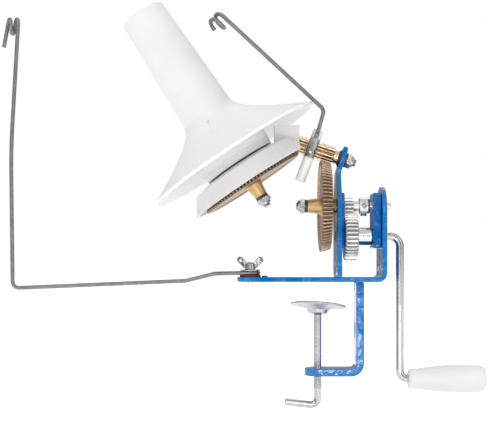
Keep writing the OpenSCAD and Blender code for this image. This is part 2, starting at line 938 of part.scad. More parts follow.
module holder_screws() {
    color(zinc) {
        holder_screw_places() {
            translate([0, 0, -2.6]) cylinder(h = 5.6, r = 1.25);
            translate([0, 0, 3]) cylinder(h = 1.4, r = 2.1);
            translate([0, 0, -3]) cylinder(h = 1.6, r = 2.2, $fn = 6);
        }
        wire_screw_place() translate([0, 0, wire_d / 2 + 0.15]) cylinder(h = 3, r = 1);
    }
}

// The small set screw that grips the wire through the tube and its sleeve
module wire_screw_place() {
    in_holder() translate([0, 0, sleeve_screw_t]) rotate([90, 0, 0]) children();
}

sleeve_l = 14.5;
sleeve_top = holder_up - 6;
sleeve_screw_t = sleeve_top - sleeve_l + 3;

module holder_sleeve() {
    color(zinc)
        difference() {
            in_holder()
                translate([0, 0, sleeve_top - sleeve_l])
                    ring(sleeve_r, wire_d / 2 + running, sleeve_l);
            wire_screw_place() cylinder(h = 6, r = 1);
        }
}

wire_x1 = 3.95;
wire_z1 = 128.9;
holder_tilt = idler_slope + holder_lean;
holder_up_dir = [sin(holder_tilt), 0, cos(holder_tilt)];
holder_mid = [
    front_gear_x + holder_s * cos(idler_slope), holder_y,
    idler_z - holder_s * sin(idler_slope),
];
wire_end = [-71.5, holder_y, 198.7];

module cone_guide_wire() {
    corner = [wire_x1, holder_y, wire_z1];
    along = unit(wire_end - corner);
    advance = [-along.z, 0, along.x];
    p = rounded_path(
        [
            holder_mid - holder_up_dir * (holder_down - 2),
            holder_mid + holder_up_dir * (holder_up + 1.5),
            corner,
            wire_end,
        ],
        [14, 5]);
    color(wire_grey)
        swept_wire(concat(p, pigtail(wire_end, along, [0, 1, 0], advance, 0.6)), wire_d / 2);
}

module yarn_arm() {
    y = -arm_eye_r;
    top = [-226.5, y, 193.8];
    corner_path = rounded_path(
        [
            [stud_x - 2, y, arm_wire_z], [-77.5, y, 6.3], [-100.3, y, 0.8],
            [-230.6, y, -4.7], [-231.8, y, 100.3], top,
        ],
        [10, 10, 4.5, 500]);
    eye = [
        for (a = [190:-20:-90])
            [stud_x + arm_eye_r * cos(a), arm_eye_r * sin(a), arm_wire_z],
    ];
    along = unit(top - [-231.8, y, 100.3]);
    color(wire_grey)
        swept_wire(
            concat(eye, corner_path, pigtail(top, along, [0, 1, 0], [-1, 0, 0], 14.8)),
            wire_d / 2);
}

arm_washer_z = arm_wire_z + wire_d / 2;
wing_z = arm_washer_z + 1;

module arm_stud() {
    color(zinc)
        translate([stud_x, 0, -1.2]) cylinder(h = 18.2, r = 2.5);
}

module fibre_washer() {
    color([0.45, 0.12, 0.12]) translate([stud_x, 0, sheet_t]) ring(8, 2.6, fibre_t);
}

module arm_washer() {
    color(zinc) translate([stud_x, 0, arm_washer_z]) ring(7.5, 2.5 + running, 1);
}

module wing_nut() {
    color(zinc)
        translate([stud_x, 0, wing_z])
            difference() {
                union() {
                    cylinder(h = 4.8, r1 = 4.2, r2 = 3.7);
                    for (side = [0, 180])
                        rotate([90, 0, side])
                            translate([2.4, 1.2, -1.1])
                                rotate([0, 0, 50]) {
                                    cube([9.6, 3.4, 2.2]);
                                    translate([9.6, 1.7, 0]) cylinder(h = 2.2, r = 1.7);
                                }
                }
                translate([0, 0, -1]) cylinder(h = 20, r = 2.5 + running);
            }
}

ball_r = 3.6;
ball_z = -plate_drop - 3.2;
handle_z = -94;

// One rod: a ball under the pressure plate, the thread, a thinner shank and a bent handle
module clamp_screw() {
    thread_end = -clamp_h - 10;
    thread_r = screw_d / 2;
    neck = -acos(thread_r / ball_r);
    handle = [
        [0, 0, thread_end + 2], [0, 0, handle_z], [-25, 0, handle_z + 2.8],
    ];
    color(zinc) {
        rotate_extrude()
            polygon([
                for (a = [90:-10:neck]) [0, ball_z] + polar(ball_r, a),
                [thread_r, ball_z + ball_r * sin(neck)], [thread_r, thread_end + 0.5],
                [thread_r - 0.4, thread_end], [0, thread_end],
            ]);
        swept_wire(rounded_path(handle, [5]), screw_d * 0.45, 20);
    }
}

// Half section of the pressed pressure plate, with the socket that holds the ball
module pressure_plate() {
    rim = plate_d / 2;
    socket = ball_r + 0.25;
    color(zinc)
        translate([0, 0, ball_z])
            rotate([-8, 4, 0])
                difference() {
                    rotate_extrude($fn = 72)
                        polygon([
                            [0, 4.6], [8, 4.6], [rim - 3, 3.9], [rim, 3.1], [rim, 2.1],
                            [rim - 4, 1.4], [11, -1.2], [8, -3], [6.6, -3.6], [0, -3.6],
                        ]);
                    sphere(r = socket);
                    translate([0, 0, -3.8]) cylinder(h = 2.2, r1 = 4.4, r2 = 3.45);
                }
}

base_bar();
front_upright();
rear_bearing_block();
front_bearing_block();
clamp_arm();
stop_rivet();
front_bushes();
rear_bushes();
crank_rod();
drive_gear();
drive_sleeve();
crank_grip();
grip_ring();
layshaft();
layshaft_pinion();
shaft_collar();
collar_screws();
collar_washer();
front_gear();
front_gear_washer();
front_gear_nut();
idler_pinion();
idler_bolt();
idler_washers();
idler_nut();
cone_housing();
spindle_bush();
spindle();
cone_gear();
cone_gear_washer();
cone_gear_nut();
yarn_cone();
cone_washer();
cone_nut();
guide_holder();
holder_strap();
holder_screws();
holder_sleeve();
cone_guide_wire();
yarn_arm();
arm_stud();
fibre_washer();
arm_washer();
wing_nut();
clamp_screw();
pressure_plate();
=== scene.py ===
"""Yarn ball winder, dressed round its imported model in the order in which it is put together.

Lengths are in millimetres in the model's own frame, and become metres where a mesh is made.
"""
import itertools
import math

import bmesh
import bpy
import numpy as np
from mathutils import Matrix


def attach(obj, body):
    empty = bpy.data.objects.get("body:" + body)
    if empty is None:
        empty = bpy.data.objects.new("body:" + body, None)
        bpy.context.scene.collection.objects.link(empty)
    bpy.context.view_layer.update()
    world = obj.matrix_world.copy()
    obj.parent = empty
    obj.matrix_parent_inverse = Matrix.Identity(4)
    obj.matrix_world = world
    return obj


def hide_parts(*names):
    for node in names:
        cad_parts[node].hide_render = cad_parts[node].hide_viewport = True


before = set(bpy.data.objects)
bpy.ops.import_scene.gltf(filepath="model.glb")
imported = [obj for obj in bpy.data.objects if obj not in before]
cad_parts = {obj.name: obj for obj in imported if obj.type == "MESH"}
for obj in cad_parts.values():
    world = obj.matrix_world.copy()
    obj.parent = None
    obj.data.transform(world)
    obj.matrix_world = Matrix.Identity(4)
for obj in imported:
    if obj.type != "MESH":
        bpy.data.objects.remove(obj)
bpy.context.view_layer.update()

# The set: a plain pale floor under soft light. The camera stands level with the clamp, a little
# to the left of the winder's middle, and its lens is raised so that the whole winder fits.
METRE = 0.001
PHOTO_WIDTH = 488
HORIZON_BELOW_MIDDLE = 48
FOCAL_PIXELS = 1110
SENSOR = 36
CAMERA_PLACE = (-56, -844, 15)
FLOOR_Z = -99.5
FLOOR_REACH = 9000

camera = bpy.data.cameras.new("camera")
camera.sensor_width = SENSOR
camera.lens = FOCAL_PIXELS / PHOTO_WIDTH * SENSOR
camera.shift_y = HORIZON_BELOW_MIDDLE / PHOTO_WIDTH
camera.clip_start = 0.01
camera.clip_end = 100
camera_holder = bpy.data.objects.new("camera", camera)
camera_holder.location = [METRE * v for v in CAMERA_PLACE]
camera_holder.rotation_euler = (math.pi / 2, 0, 0)
bpy.context.scene.collection.objects.link(camera_holder)
bpy.context.scene.camera = camera_holder
bpy.context.scene.view_settings.view_transform = "Standard"


def new_material(name, colour, metallic, roughness, **sockets):
    """A material whose shader has plain values on its own sockets, and its node tree to add to."""
    material = bpy.data.materials.new(name)
    material.use_nodes = True
    shader = material.node_tree.nodes["Principled BSDF"]
    shader.inputs["Base Color"].default_value = (*colour, 1)
    shader.inputs["Metallic"].default_value = metallic
    shader.inputs["Roughness"].default_value = roughness
    for socket, value in sockets.items():
        shader.inputs[socket.replace("_", " ")].default_value = value
    return material


def soft_light(name, place, aim, size, power):
    """A flat area light at a place, turned towards a point. Both are in metres."""
    light = bpy.data.lights.new(name, "AREA")
    light.shape = "RECTANGLE"
    light.size, light.size_y = size
    light.energy = power
    holder = bpy.data.objects.new(name, light)
    holder.location = place
    towards = np.subtract(aim, place)
    level = math.hypot(towards[0], towards[1])
    holder.rotation_euler = (
        math.pi / 2 + math.atan2(towards[2], level), 0, math.atan2(towards[1], towards[0]) - math.pi / 2)
    bpy.context.scene.collection.objects.link(holder)


soft_light("key", (-1.0, -1.2, 1.6), (-0.06, 0, 0.08), (1.0, 1.0), 8.4)
soft_light("front", (-0.2, -1.9, 0.85), (-0.06, 0, 0.06), (1.4, 0.55), 2.6)
soft_light("fill", (1.6, -1.0, 0.6), (-0.02, 0, 0.06), (0.5, 1.5), 4.2)
soft_light("back", (0.1, 1.4, 1.8), (-0.06, 0, 0.1), (1.4, 0.8), 3)
soft_light("low", (-0.75, -1.6, 0.0), (-0.06, 0, 0.06), (0.6, 0.25), 0.7)
soft_light("glints", (0.05, -1.9, 0.36), (0, 0, 0.02), (0.4, 0.1), 0.7)
soft_light("panel", (0.045, -0.4, -0.06), (0.03, 0, -0.05), (0.08, 0.02), 0.085)
soft_light("foot_panel", (0.03, -0.4, -0.084), (0, 0, -0.068), (0.06, 0.012), 0.06)

world = bpy.data.worlds.new("studio")
bpy.context.scene.world = world
world.use_nodes = True
sky = world.node_tree
sky_seen = sky.nodes["Background"]
sky_seen.inputs["Color"].default_value = (1, 1, 1, 1)
sky_light = sky.nodes.new("ShaderNodeBackground")
sky_ramp = sky.nodes.new("ShaderNodeValToRGB")
sky_ramp.color_ramp.elements[0].position = 0.5
sky_ramp.color_ramp.elements[0].color = (0.24, 0.245, 0.26, 1)
sky_ramp.color_ramp.elements[1].position = 0.8
sky_ramp.color_ramp.elements[1].color = (0.8, 0.8, 0.8, 1)
sky_place = sky.nodes.new("ShaderNodeTexCoord")
sky_split = sky.nodes.new("ShaderNodeSeparateXYZ")
sky_height = sky.nodes.new("ShaderNodeMath")
sky_height.operation = "MULTIPLY_ADD"
sky_height.inputs[1].default_value = 0.5
sky_height.inputs[2].default_value = 0.5
sky_path = sky.nodes.new("ShaderNodeLightPath")
sky_mix = sky.nodes.new("ShaderNodeMixShader")
sky.links.new(sky_place.outputs["Generated"], sky_split.inputs[0])
sky.links.new(sky_split.outputs["Z"], sky_height.inputs[0])
sky.links.new(sky_height.outputs[0], sky_ramp.inputs[0])
sky.links.new(sky_ramp.outputs[0], sky_light.inputs["Color"])
sky.links.new(sky_path.outputs["Is Camera Ray"], sky_mix.inputs[0])
sky.links.new(sky_light.outputs[0], sky_mix.inputs[1])
sky.links.new(sky_seen.outputs[0], sky_mix.inputs[2])
sky.links.new(sky_mix.outputs[0], sky.nodes["World Output"].inputs[0])

floor_mesh = bpy.data.meshes.new("floor")
floor_mesh.from_pydata(
    [(METRE * x, METRE * y, METRE * FLOOR_Z) for x, y in
     ((-FLOOR_REACH, -FLOOR_REACH), (FLOOR_REACH, -FLOOR_REACH),
      (FLOOR_REACH, FLOOR_REACH), (-FLOOR_REACH, FLOOR_REACH))],
    [], [(0, 1, 2, 3)])
floor = bpy.data.objects.new("floor", floor_mesh)
bpy.context.scene.collection.objects.link(floor)
floor_mesh.materials.append(new_material(
    "floor_paper", (0.9, 0.9, 0.9), 0, 0.9, Emission_Color=(1, 1, 1, 1), Emission_Strength=0.5))

# Base bar: a strip of 3.5 mm steel, narrow where it carries the yarn arm and wide under the
# uprights. Its right end is bent up to make the rear upright. Edges are broken by tumbling, and
# the whole frame is dipped in thick blue enamel, which dries a little lumpy.
SHEET = 3.5
EDGE = 0.7
STUD_X = -51.3
TONGUE_HALF = 10
UPRIGHT_HALF = 20
REAR_X = 50.5
REAR_TOP = 72
BAR_BEND = 6.5


def noise_on(material, scale, detail=2.0, stretch=(1, 1, 1)):
    """Noise on the piece's own coordinates: scale is in waves per metre, before the stretch."""
    tree = material.node_tree
    place = tree.nodes.new("ShaderNodeTexCoord")
    mapping = tree.nodes.new("ShaderNodeMapping")
    mapping.inputs["Scale"].default_value = stretch
    noise = tree.nodes.new("ShaderNodeTexNoise")
    noise.inputs["Scale"].default_value = scale
    noise.inputs["Detail"].default_value = detail
    tree.links.new(place.outputs["Object"], mapping.inputs["Vector"])
    tree.links.new(mapping.outputs[0], noise.inputs["Vector"])
    return noise.outputs["Fac"]


def tinted(material, factor, *stops):
    """Colours the base by a factor: each stop is a place from 0 to 1 and a colour."""
    tree = material.node_tree
    ramp = tree.nodes.new("ShaderNodeValToRGB").color_ramp
    ramp_node = tree.nodes[-1]
    for element, (place, colour) in zip(ramp.elements, stops):
        element.position = place
        element.color = (*colour, 1)
    for place, colour in stops[2:]:
        ramp.elements.new(place).color = (*colour, 1)
    tree.links.new(factor, ramp_node.inputs[0])
    tree.links.new(ramp_node.outputs[0], tree.nodes["Principled BSDF"].inputs["Base Color"])


def roughened(material, factor, low, high):
    """Lets the roughness run from low to high with a factor that mostly lies from 0.3 to 0.7."""
    tree = material.node_tree
    spread = tree.nodes.new("ShaderNodeMapRange")
    spread.inputs["From Min"].default_value = 0.3
    spread.inputs["From Max"].default_value = 0.7
    spread.inputs["To Min"].default_value = low
    spread.inputs["To Max"].default_value = high
    tree.links.new(factor, spread.inputs["Value"])
    tree.links.new(spread.outputs[0], tree.nodes["Principled BSDF"].inputs["Roughness"])


def embossed(material, height, depth, strength=1.0):
    """Bumps the surface by a height from 0 to 1, times a depth in millimetres."""
    tree = material.node_tree
    bump = tree.nodes.new("ShaderNodeBump")
    bump.inputs["Strength"].default_value = strength
    bump.inputs["Distance"].default_value = depth * METRE
    shader = tree.nodes["Principled BSDF"]
    earlier = shader.inputs["Normal"].links
    if earlier:
        tree.links.new(earlier[0].from_socket, bump.inputs["Normal"])
    tree.links.new(height, bump.inputs["Height"])
    tree.links.new(bump.outputs[0], shader.inputs["Normal"])


def times(material, first, second):
    """One value from 0 to 1 times another."""
    product = material.node_tree.nodes.new("ShaderNodeMath")
    product.operation = "MULTIPLY"
    material.node_tree.links.new(first, product.inputs[0])
    material.node_tree.links.new(second, product.inputs[1])
    return product.outputs[0]


def stepped(material, value, start, end):
    """0 where the value hasn't reached start, 1 past end, and a straight line between."""
    step = material.node_tree.nodes.new("ShaderNodeMapRange")
    step.inputs["From Min"].default_value = start
    step.inputs["From Max"].default_value = end
    material.node_tree.links.new(value, step.inputs["Value"])
    return step.outputs[0]


def mixed(material, share, colour):
    """Lays a colour over the base colour, by a share from 0 to 1."""
    tree = material.node_tree
    mix = tree.nodes.new("ShaderNodeMix")
    mix.data_type = "RGBA"
    base = tree.nodes["Principled BSDF"].inputs["Base Color"]
    tree.links.new(share, mix.inputs["Factor"])
    tree.links.new(base.links[0].from_socket, mix.inputs[6])
    mix.inputs[7].default_value = (*colour, 1)
    tree.links.new(mix.outputs[2], base)


def worn(material, colour, grain=250):
    """Rubs a colour through on convex edges: how sharp the edge is, times a noise in patches."""
    sharp = material.node_tree.nodes.new("ShaderNodeNewGeometry").outputs["Pointiness"]
    patches = stepped(material, noise_on(material, grain, 3), 0.35, 0.6)
    mixed(material, times(material, stepped(material, sharp, 0.515, 0.57), patches), colour)


blue_enamel = new_material(
    "blue_enamel", (0.0, 0.13, 0.42), 0, 0.3, Specular_IOR_Level=0.03, Coat_Roughness=0.1)
tinted(blue_enamel, noise_on(blue_enamel, 45, 4), (0.3, (0.0, 0.11, 0.36)), (0.7, (0.0, 0.165, 0.47)))
worn(blue_enamel, (0.0, 0.25, 0.62))
roughened(blue_enamel, noise_on(blue_enamel, 160, 3), 0.2, 0.34)
lumps = stepped(blue_enamel, noise_on(blue_enamel, 36, 2), 0.38, 0.5)
embossed(blue_enamel, times(blue_enamel, noise_on(blue_enamel, 150, 2), lumps), 0.5)
embossed(blue_enamel, noise_on(blue_enamel, 1200, 2), 0.012)
enamel_nodes = blue_enamel.node_tree
enamel = enamel_nodes.nodes["Principled BSDF"]
enamel_nodes.links.new(lumps, enamel.inputs["Coat Weight"])
enamel_nodes.links.new(enamel.inputs["Normal"].links[0].from_socket, enamel.inputs["Coat Normal"])


def rounded(corners, steps=6, closed=False):
    """The points of a flat line with each corner (x, y, fillet) turned into an arc that touches
    both of its sides. Its centre lies on the half-angle line, at fillet / sin(half angle)."""
    points = []
    for i, (x, y, fillet) in enumerate(corners):
        here = np.array([x, y], float)
        if fillet == 0 or (not closed and i in (0, len(corners) - 1)):
            points.append(here[None])
            continue
        back = np.array(corners[i - 1][:2], float) - here
        on = np.array(corners[(i + 1) % len(corners)][:2], float) - here
        back /= np.linalg.norm(back)
        on /= np.linalg.norm(on)
        half = math.acos(np.clip(back @ on, -1, 1)) / 2
        centre = here + (back + on) / np.linalg.norm(back + on) * fillet / math.sin(half)
        first = here + back * fillet / math.tan(half) - centre
        last = here + on * fillet / math.tan(half) - centre
        swing = math.pi - 2 * half
        t = np.linspace(0, swing, steps + 1)[:, None]
        points.append(centre + (np.sin(swing - t) * first + np.sin(t) * last) / math.sin(swing))
    line = np.vstack(points)
    return line[np.r_[True, np.linalg.norm(np.diff(line, axis=0), axis=1) > 1e-6]]


def filled(line, step):
    """The same line with more points, at equal shares of each stretch and a step apart at most."""
    counts = np.maximum(1, np.ceil(np.linalg.norm(np.diff(line, axis=0), axis=1) / step)).astype(int)
    start = np.repeat(np.arange(len(counts)), counts)
    share = (np.arange(counts.sum()) - np.repeat(np.cumsum(counts) - counts, counts)) / counts[start]
    return np.vstack([line[start] + (line[start + 1] - line[start]) * share[:, None], line[-1:]])


def grid_quads(rows, columns, close_rows=False, close_columns=False):
    """Corner numbers of the quads between neighbouring points of a grid, and across its seams."""
    i = np.arange(rows if close_rows else rows - 1)[:, None]
    j = np.arange(columns if close_columns else columns - 1)[None]
    i2, j2 = (i + 1) % rows, (j + 1) % columns
    return np.stack([i * columns + j, i2 * columns + j, i2 * columns + j2, i * columns + j2], -1).reshape(-1, 4)


def finish_piece(name, mesh, material, body, nodes, crease):
    """Smooths a mesh except at corners sharper than the crease angle, weights its shading by the
    area of the faces, and hands it to the frame in place of its nodes."""
    mesh.name = name + "_shown"
    mesh.materials.clear()
    mesh.materials.append(material)
    mesh.shade_smooth()
    mesh.set_sharp_from_angle(angle=math.radians(crease))
    piece = bpy.data.objects.new(name + "_shown", mesh)
    bpy.context.scene.collection.objects.link(piece)
    piece.modifiers.new("area_shading", "WEIGHTED_NORMAL").keep_sharp = True
    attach(piece, body)
    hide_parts(*nodes)
    return piece


def make_piece(name, surfaces, material, body, nodes=None, crease=38):
    """Joins surfaces, each the points of a grid in millimetres and its quads, into one mesh.
    Points of a surface that coincide become one, so poles and seams close."""
    counts = np.array([len(points) for points, _ in surfaces])
    owner = np.repeat(np.arange(len(surfaces)), counts)
    points = np.vstack([points for points, _ in surfaces])
    quads = np.vstack([quads + n for (_, quads), n in zip(surfaces, np.cumsum(counts) - counts)])
    kept, where = np.unique(np.round(np.column_stack([owner, points]), 4), axis=0, return_inverse=True)
    faces = [tuple(dict.fromkeys(quad)) for quad in where.reshape(-1)[quads].tolist()]
    mesh = bpy.data.meshes.new(name)
    mesh.from_pydata((kept[:, 1:] * METRE).tolist(), [], [face for face in faces if len(face) > 2])
    return finish_piece(name, mesh, material, body, [name] if nodes is None else nodes, crease)


def along(corners):
    """Where a strip lies once it is bent: the point at that length along a line with rounded
    corners, plus the height times the line's normal there."""
    line = filled(rounded(corners, 12), 0.5)
    at = np.concatenate([[0], np.cumsum(np.linalg.norm(np.diff(line, axis=0), axis=1))])
    run = np.gradient(line, at, axis=0)
    angle = np.unwrap(np.arctan2(run[:, 1], run[:, 0]))

    def place(length, height):
        turn = np.interp(length, at, angle)
        x = np.interp(length, at, line[:, 0]) - height * np.sin(turn)
        return x, np.interp(length, at, line[:, 1]) + height * np.cos(turn)
    return place, at[-1]


def bent_plate(outline, thickness, place, edge=EDGE, step=1.5):
    """A flat blank, then bent. The outline is one side's line from end to end, as (length, half
    width, fillet), and the other side mirrors it. Up the plate's thickness the line is drawn in
    along its own normal, by a quarter circle at each edge."""
    line = filled(rounded(outline, 8), step)
    run = np.gradient(line, axis=0)
    inward = np.column_stack([run[:, 1], -run[:, 0]]) / np.linalg.norm(run, axis=1)[:, None]
    inward[0], inward[-1] = (1, 0), (-1, 0)
    a = np.linspace(0, math.pi / 2, 5)
    inset = np.concatenate([edge * (1 - np.sin(a)), edge * (1 - np.sin(a[::-1]))])
    height = np.concatenate([edge * (1 - np.cos(a)), thickness - edge * (1 - np.cos(a[::-1]))]) - thickness / 2
    length = line[:, :1] + inward[:, :1] * inset
    across = np.maximum(line[:, 1:] + inward[:, 1:] * inset, 0)
    across[[0, -1]] = 0
    x, z = place(length, np.broadcast_to(height, length.shape))
    ring = np.concatenate([np.stack([x, -across, z], -1), np.stack([x, across, z], -1)[:, ::-1]], 1)
    return ring.reshape(-1, 3), grid_quads(len(line), ring.shape[1], close_columns=True)


bar_line, bar_length = along([
    (STUD_X - TONGUE_HALF, SHEET / 2, 0), (REAR_X - SHEET / 2, SHEET / 2, BAR_BEND - SHEET / 2),
    (REAR_X - SHEET / 2, REAR_TOP, 0)])
make_piece("base_bar", [bent_plate([
    (0, 0, 0), (0, TONGUE_HALF, TONGUE_HALF), (55.3, TONGUE_HALF, 4), (69.3, UPRIGHT_HALF, 5),
    (bar_length, UPRIGHT_HALF, UPRIGHT_HALF), (bar_length, 0, 0)], SHEET, bar_line)],
    blue_enamel, "frame")

# Front upright and bearing blocks: the front upright is a second strip welded on the bar, and its
# top is bent to stand square to the long pinion. Thicker blocks stiffen both uprights where the
# crank shaft and the layshaft run.
SLOPE = math.radians(18)
FRONT_X = 13.5
EAR_PLACE = (18.682, 93.206)
EAR_HALF = 9.8
BLOCK_HALF = 13
BLOCK_Z = (25.4, 67)

front_mid = FRONT_X + SHEET / 2
ear_down = (EAR_PLACE[0] - front_mid) / math.sin(SLOPE)
front_line, front_length = along([
    (front_mid, SHEET, 0), (front_mid, EAR_PLACE[1] - ear_down * math.cos(SLOPE), 9.75),
    (EAR_PLACE[0] + EAR_HALF * math.sin(SLOPE), EAR_PLACE[1] + EAR_HALF * math.cos(SLOPE), 0)])
make_piece("front_upright", [bent_plate([
    (0, 0, 0), (0, UPRIGHT_HALF, 0.7), (58.5, UPRIGHT_HALF, 6), (77.6, EAR_HALF, 6),
    (front_length, EAR_HALF, EAR_HALF), (front_length, 0, 0)], SHEET, front_line)],
    blue_enamel, "frame")
# The blocks get a darker, blotchy copy of the blue enamel: painted shade on their faces.
painted_shade_enamel = blue_enamel.copy()
painted_shade_enamel.name = "painted_shade_enamel"
mixed(painted_shade_enamel, stepped(painted_shade_enamel, noise_on(painted_shade_enamel, 120, 3), 0.1, 0.6), (0.0, 0.105, 0.36))
for name, left, thickness in (("rear_bearing_block", 41, 6), ("front_bearing_block", 17, 2.5)):
    block_line, block_length = along([
        (left + thickness / 2, BLOCK_Z[0], 0), (left + thickness / 2, BLOCK_Z[1], 0)])
    make_piece(name, [bent_plate([
        (0, 0, 0), (0, BLOCK_HALF, 2), (block_length, BLOCK_HALF, 2), (block_length, 0, 0)],
        thickness, block_line, edge=0.9)], painted_shade_enamel, "frame")

# Table clamp: a 20 by 6 mm flat bar welded under the base bar, bent to a foot with a round end.
# The foot's enamel is lumpy all over its front, so that it glints more than the rest.
CLAMP_MID_X = 31.4
FOOT_MID_Z = -68.2
FOOT_LUMPS_X = 6


def far_from(material, place, axis, slope=0.0):
    """The distance in millimetres from an axis in the winder's middle plane, plus a slope times
    the height along it, so that a cone's surface has one value."""
    tree = material.node_tree
    coordinates = tree.nodes.new("ShaderNodeTexCoord")
    away = tree.nodes.new("ShaderNodeVectorMath")
    away.operation = "SUBTRACT"
    away.inputs[1].default_value = [v * METRE for v in place]
    cross = tree.nodes.new("ShaderNodeVectorMath")
    cross.operation = "CROSS_PRODUCT"
    cross.inputs[1].default_value = (axis[0] / METRE, 0, axis[1] / METRE)
    length = tree.nodes.new("ShaderNodeVectorMath")
    length.operation = "LENGTH"
    rise = tree.nodes.new("ShaderNodeVectorMath")
    rise.operation = "DOT_PRODUCT"
    rise.inputs[1].default_value = (slope * axis[0] / METRE, 0, slope * axis[1] / METRE)
    total = tree.nodes.new("ShaderNodeMath")
    tree.links.new(coordinates.outputs["Object"], away.inputs[0])
    tree.links.new(away.outputs[0], cross.inputs[0])
    tree.links.new(away.outputs[0], rise.inputs[0])
    tree.links.new(cross.outputs[0], length.inputs[0])
    tree.links.new(length.outputs["Value"], total.inputs[0])
    tree.links.new(rise.outputs["Value"], total.inputs[1])
    return total.outputs[0]


clamp_enamel = blue_enamel.copy()
clamp_enamel.name = "clamp_enamel"
clamp_nodes = clamp_enamel.node_tree
clamp_lumps = clamp_nodes.nodes["Principled BSDF"].inputs["Coat Weight"].links[0].from_socket
foot_lumps = stepped(clamp_enamel, far_from(clamp_enamel, (FOOT_LUMPS_X, 0, 0), (0, 1)), 19, 15)
either = clamp_nodes.nodes.new("ShaderNodeMath")
either.operation = "MAXIMUM"
for link in list(clamp_lumps.links):
    clamp_nodes.links.new(either.outputs[0], link.to_socket)
clamp_nodes.links.new(clamp_lumps, either.inputs[0])
clamp_nodes.links.new(foot_lumps, either.inputs[1])
clamp_line, clamp_length = along([(CLAMP_MID_X, -0.2, 0), (CLAMP_MID_X, FOOT_MID_Z, 6.5), (-10, FOOT_MID_Z, 0)])
make_piece("clamp_arm", [bent_plate([
    (0, 0, 0), (0, 10, 0.6), (clamp_length, 10, 10), (clamp_length, 0, 0)], 6, clamp_line, edge=1.0)],
    clamp_enamel, "frame")

# Stop rivet: a small round head by the stud, painted with the bar. It stops the arm's eye.
RIVET_X = -40.3


def stand(points, place, axis=(0, 1)):
    """Turns points whose own z runs along an axis (x, z) in the winder's middle plane. Their own
    y stays across the winder, and place is where their origin goes."""
    a, b = axis
    x, y, z = np.moveaxis(points, -1, 0)
    return np.stack([place[0] + x * b + z * a, place[1] + y, place[2] - x * a + z * b], -1)


def turned(profile, place, axis=(0, 1), angles=96, cut=None, closed=False):
    """A shape from a lathe: a profile of (radius, height) points goes round the axis, with the
    outside going up. cut(angle, height) gives the greatest radius there, for teeth and flats."""
    angle = np.arange(angles) * 2 * math.pi / angles if np.isscalar(angles) else np.asarray(angles)
    radius = np.broadcast_to(profile[:, :1], (len(profile), len(angle)))
    height = np.broadcast_to(profile[:, 1:2], radius.shape)
    if cut is not None:
        radius = np.minimum(radius, cut(angle[None], height))
    points = np.stack([radius * np.cos(angle), radius * np.sin(angle), height], -1)
    quads = grid_quads(len(profile), len(angle), closed, True)[:, ::-1]
    return stand(points, place, axis).reshape(-1, 3), quads


make_piece("stop_rivet", [turned(rounded([
    (0, -0.3, 0), (2.3, -0.3, 0), (2.3, 0.75, 0.5), (1.5, 1.2, 0.6), (0, 1.2, 0)]),
    (RIVET_X, 0, SHEET), angles=32)], blue_enamel, "frame")

# Bearing bushes: turned bronze, pressed through the uprights and blocks. The upper one on the
# left has a flange that the front gear's hub stands off.
CRANK_Z = 34.5
LAY_Z = 57.5
BUSH_R = 4.5
ALONG_X = (1, 0)

bush_bronze = new_material("bush_bronze", (0.42, 0.27, 0.12), 1, 0.35)
tinted(bush_bronze, noise_on(bush_bronze, 400), (0.3, (0.33, 0.2, 0.09)), (0.7, (0.5, 0.33, 0.16)))
worn(bush_bronze, (0.62, 0.42, 0.2))
roughened(bush_bronze, noise_on(bush_bronze, 600, 2), 0.28, 0.42)
embossed(bush_bronze, noise_on(bush_bronze, 900, 2, (12, 1, 1)), 0.004)


def ring(inner, outer, low, high, place, axis=(0, 1), edge=0.2, angles=64):
    """A flat ring between two heights with rounded edges."""
    return turned(rounded([
        (inner, low, edge), (outer, low, edge), (outer, high, edge), (inner, high, edge)], 3, True),
        place, axis, angles, closed=True)


make_piece("front_bushes", [
    ring(3.05, BUSH_R, 13.35, 19.7, (0, 0, CRANK_Z), ALONG_X),
    ring(3.05, BUSH_R, 13.35, 19.7, (0, 0, LAY_Z), ALONG_X),
    ring(3.05, 6, 12.1, 13.5, (0, 0, LAY_Z), ALONG_X)], bush_bronze, "frame")
make_piece("rear_bushes", [
    ring(3.05, BUSH_R, 40.85, 50.7, (0, 0, z), ALONG_X) for z in (CRANK_Z, LAY_Z)],
    bush_bronze, "frame")

# Crank: one 6 mm steel rod, bright zinc plated, bent into shaft, arm and grip pin. The shaft runs
# in the uprights, and the drive gear is pinned to it between them.
CRANK_ARM_X = 62.5
GRIP_Z = -73.7


def bent_path(corners, bends, step=0.8):
    """A line through corners (x, y, z) with an arc at each inner one. The arc lies in the plane of
    its two sides: start + bend (u sin(a) + n (1 - cos(a))), where n is square to the side u."""
    corners = np.array(corners, float)
    points = [corners[:1]]
    for back, here, on, bend in zip(corners, corners[1:], corners[2:], bends):
        u, v = here - back, on - here
        u /= np.linalg.norm(u)
        v /= np.linalg.norm(v)
        turn = math.acos(u @ v)
        n = (v - u * (u @ v)) / math.sin(turn)
        a = np.linspace(0, turn, max(4, int(turn * bend / step) + 2))[:, None]
        points.append(here - u * bend * math.tan(turn / 2) + bend * (u * np.sin(a) + n * (1 - np.cos(a))))
    points.append(corners[-1:])
    return np.vstack(points)


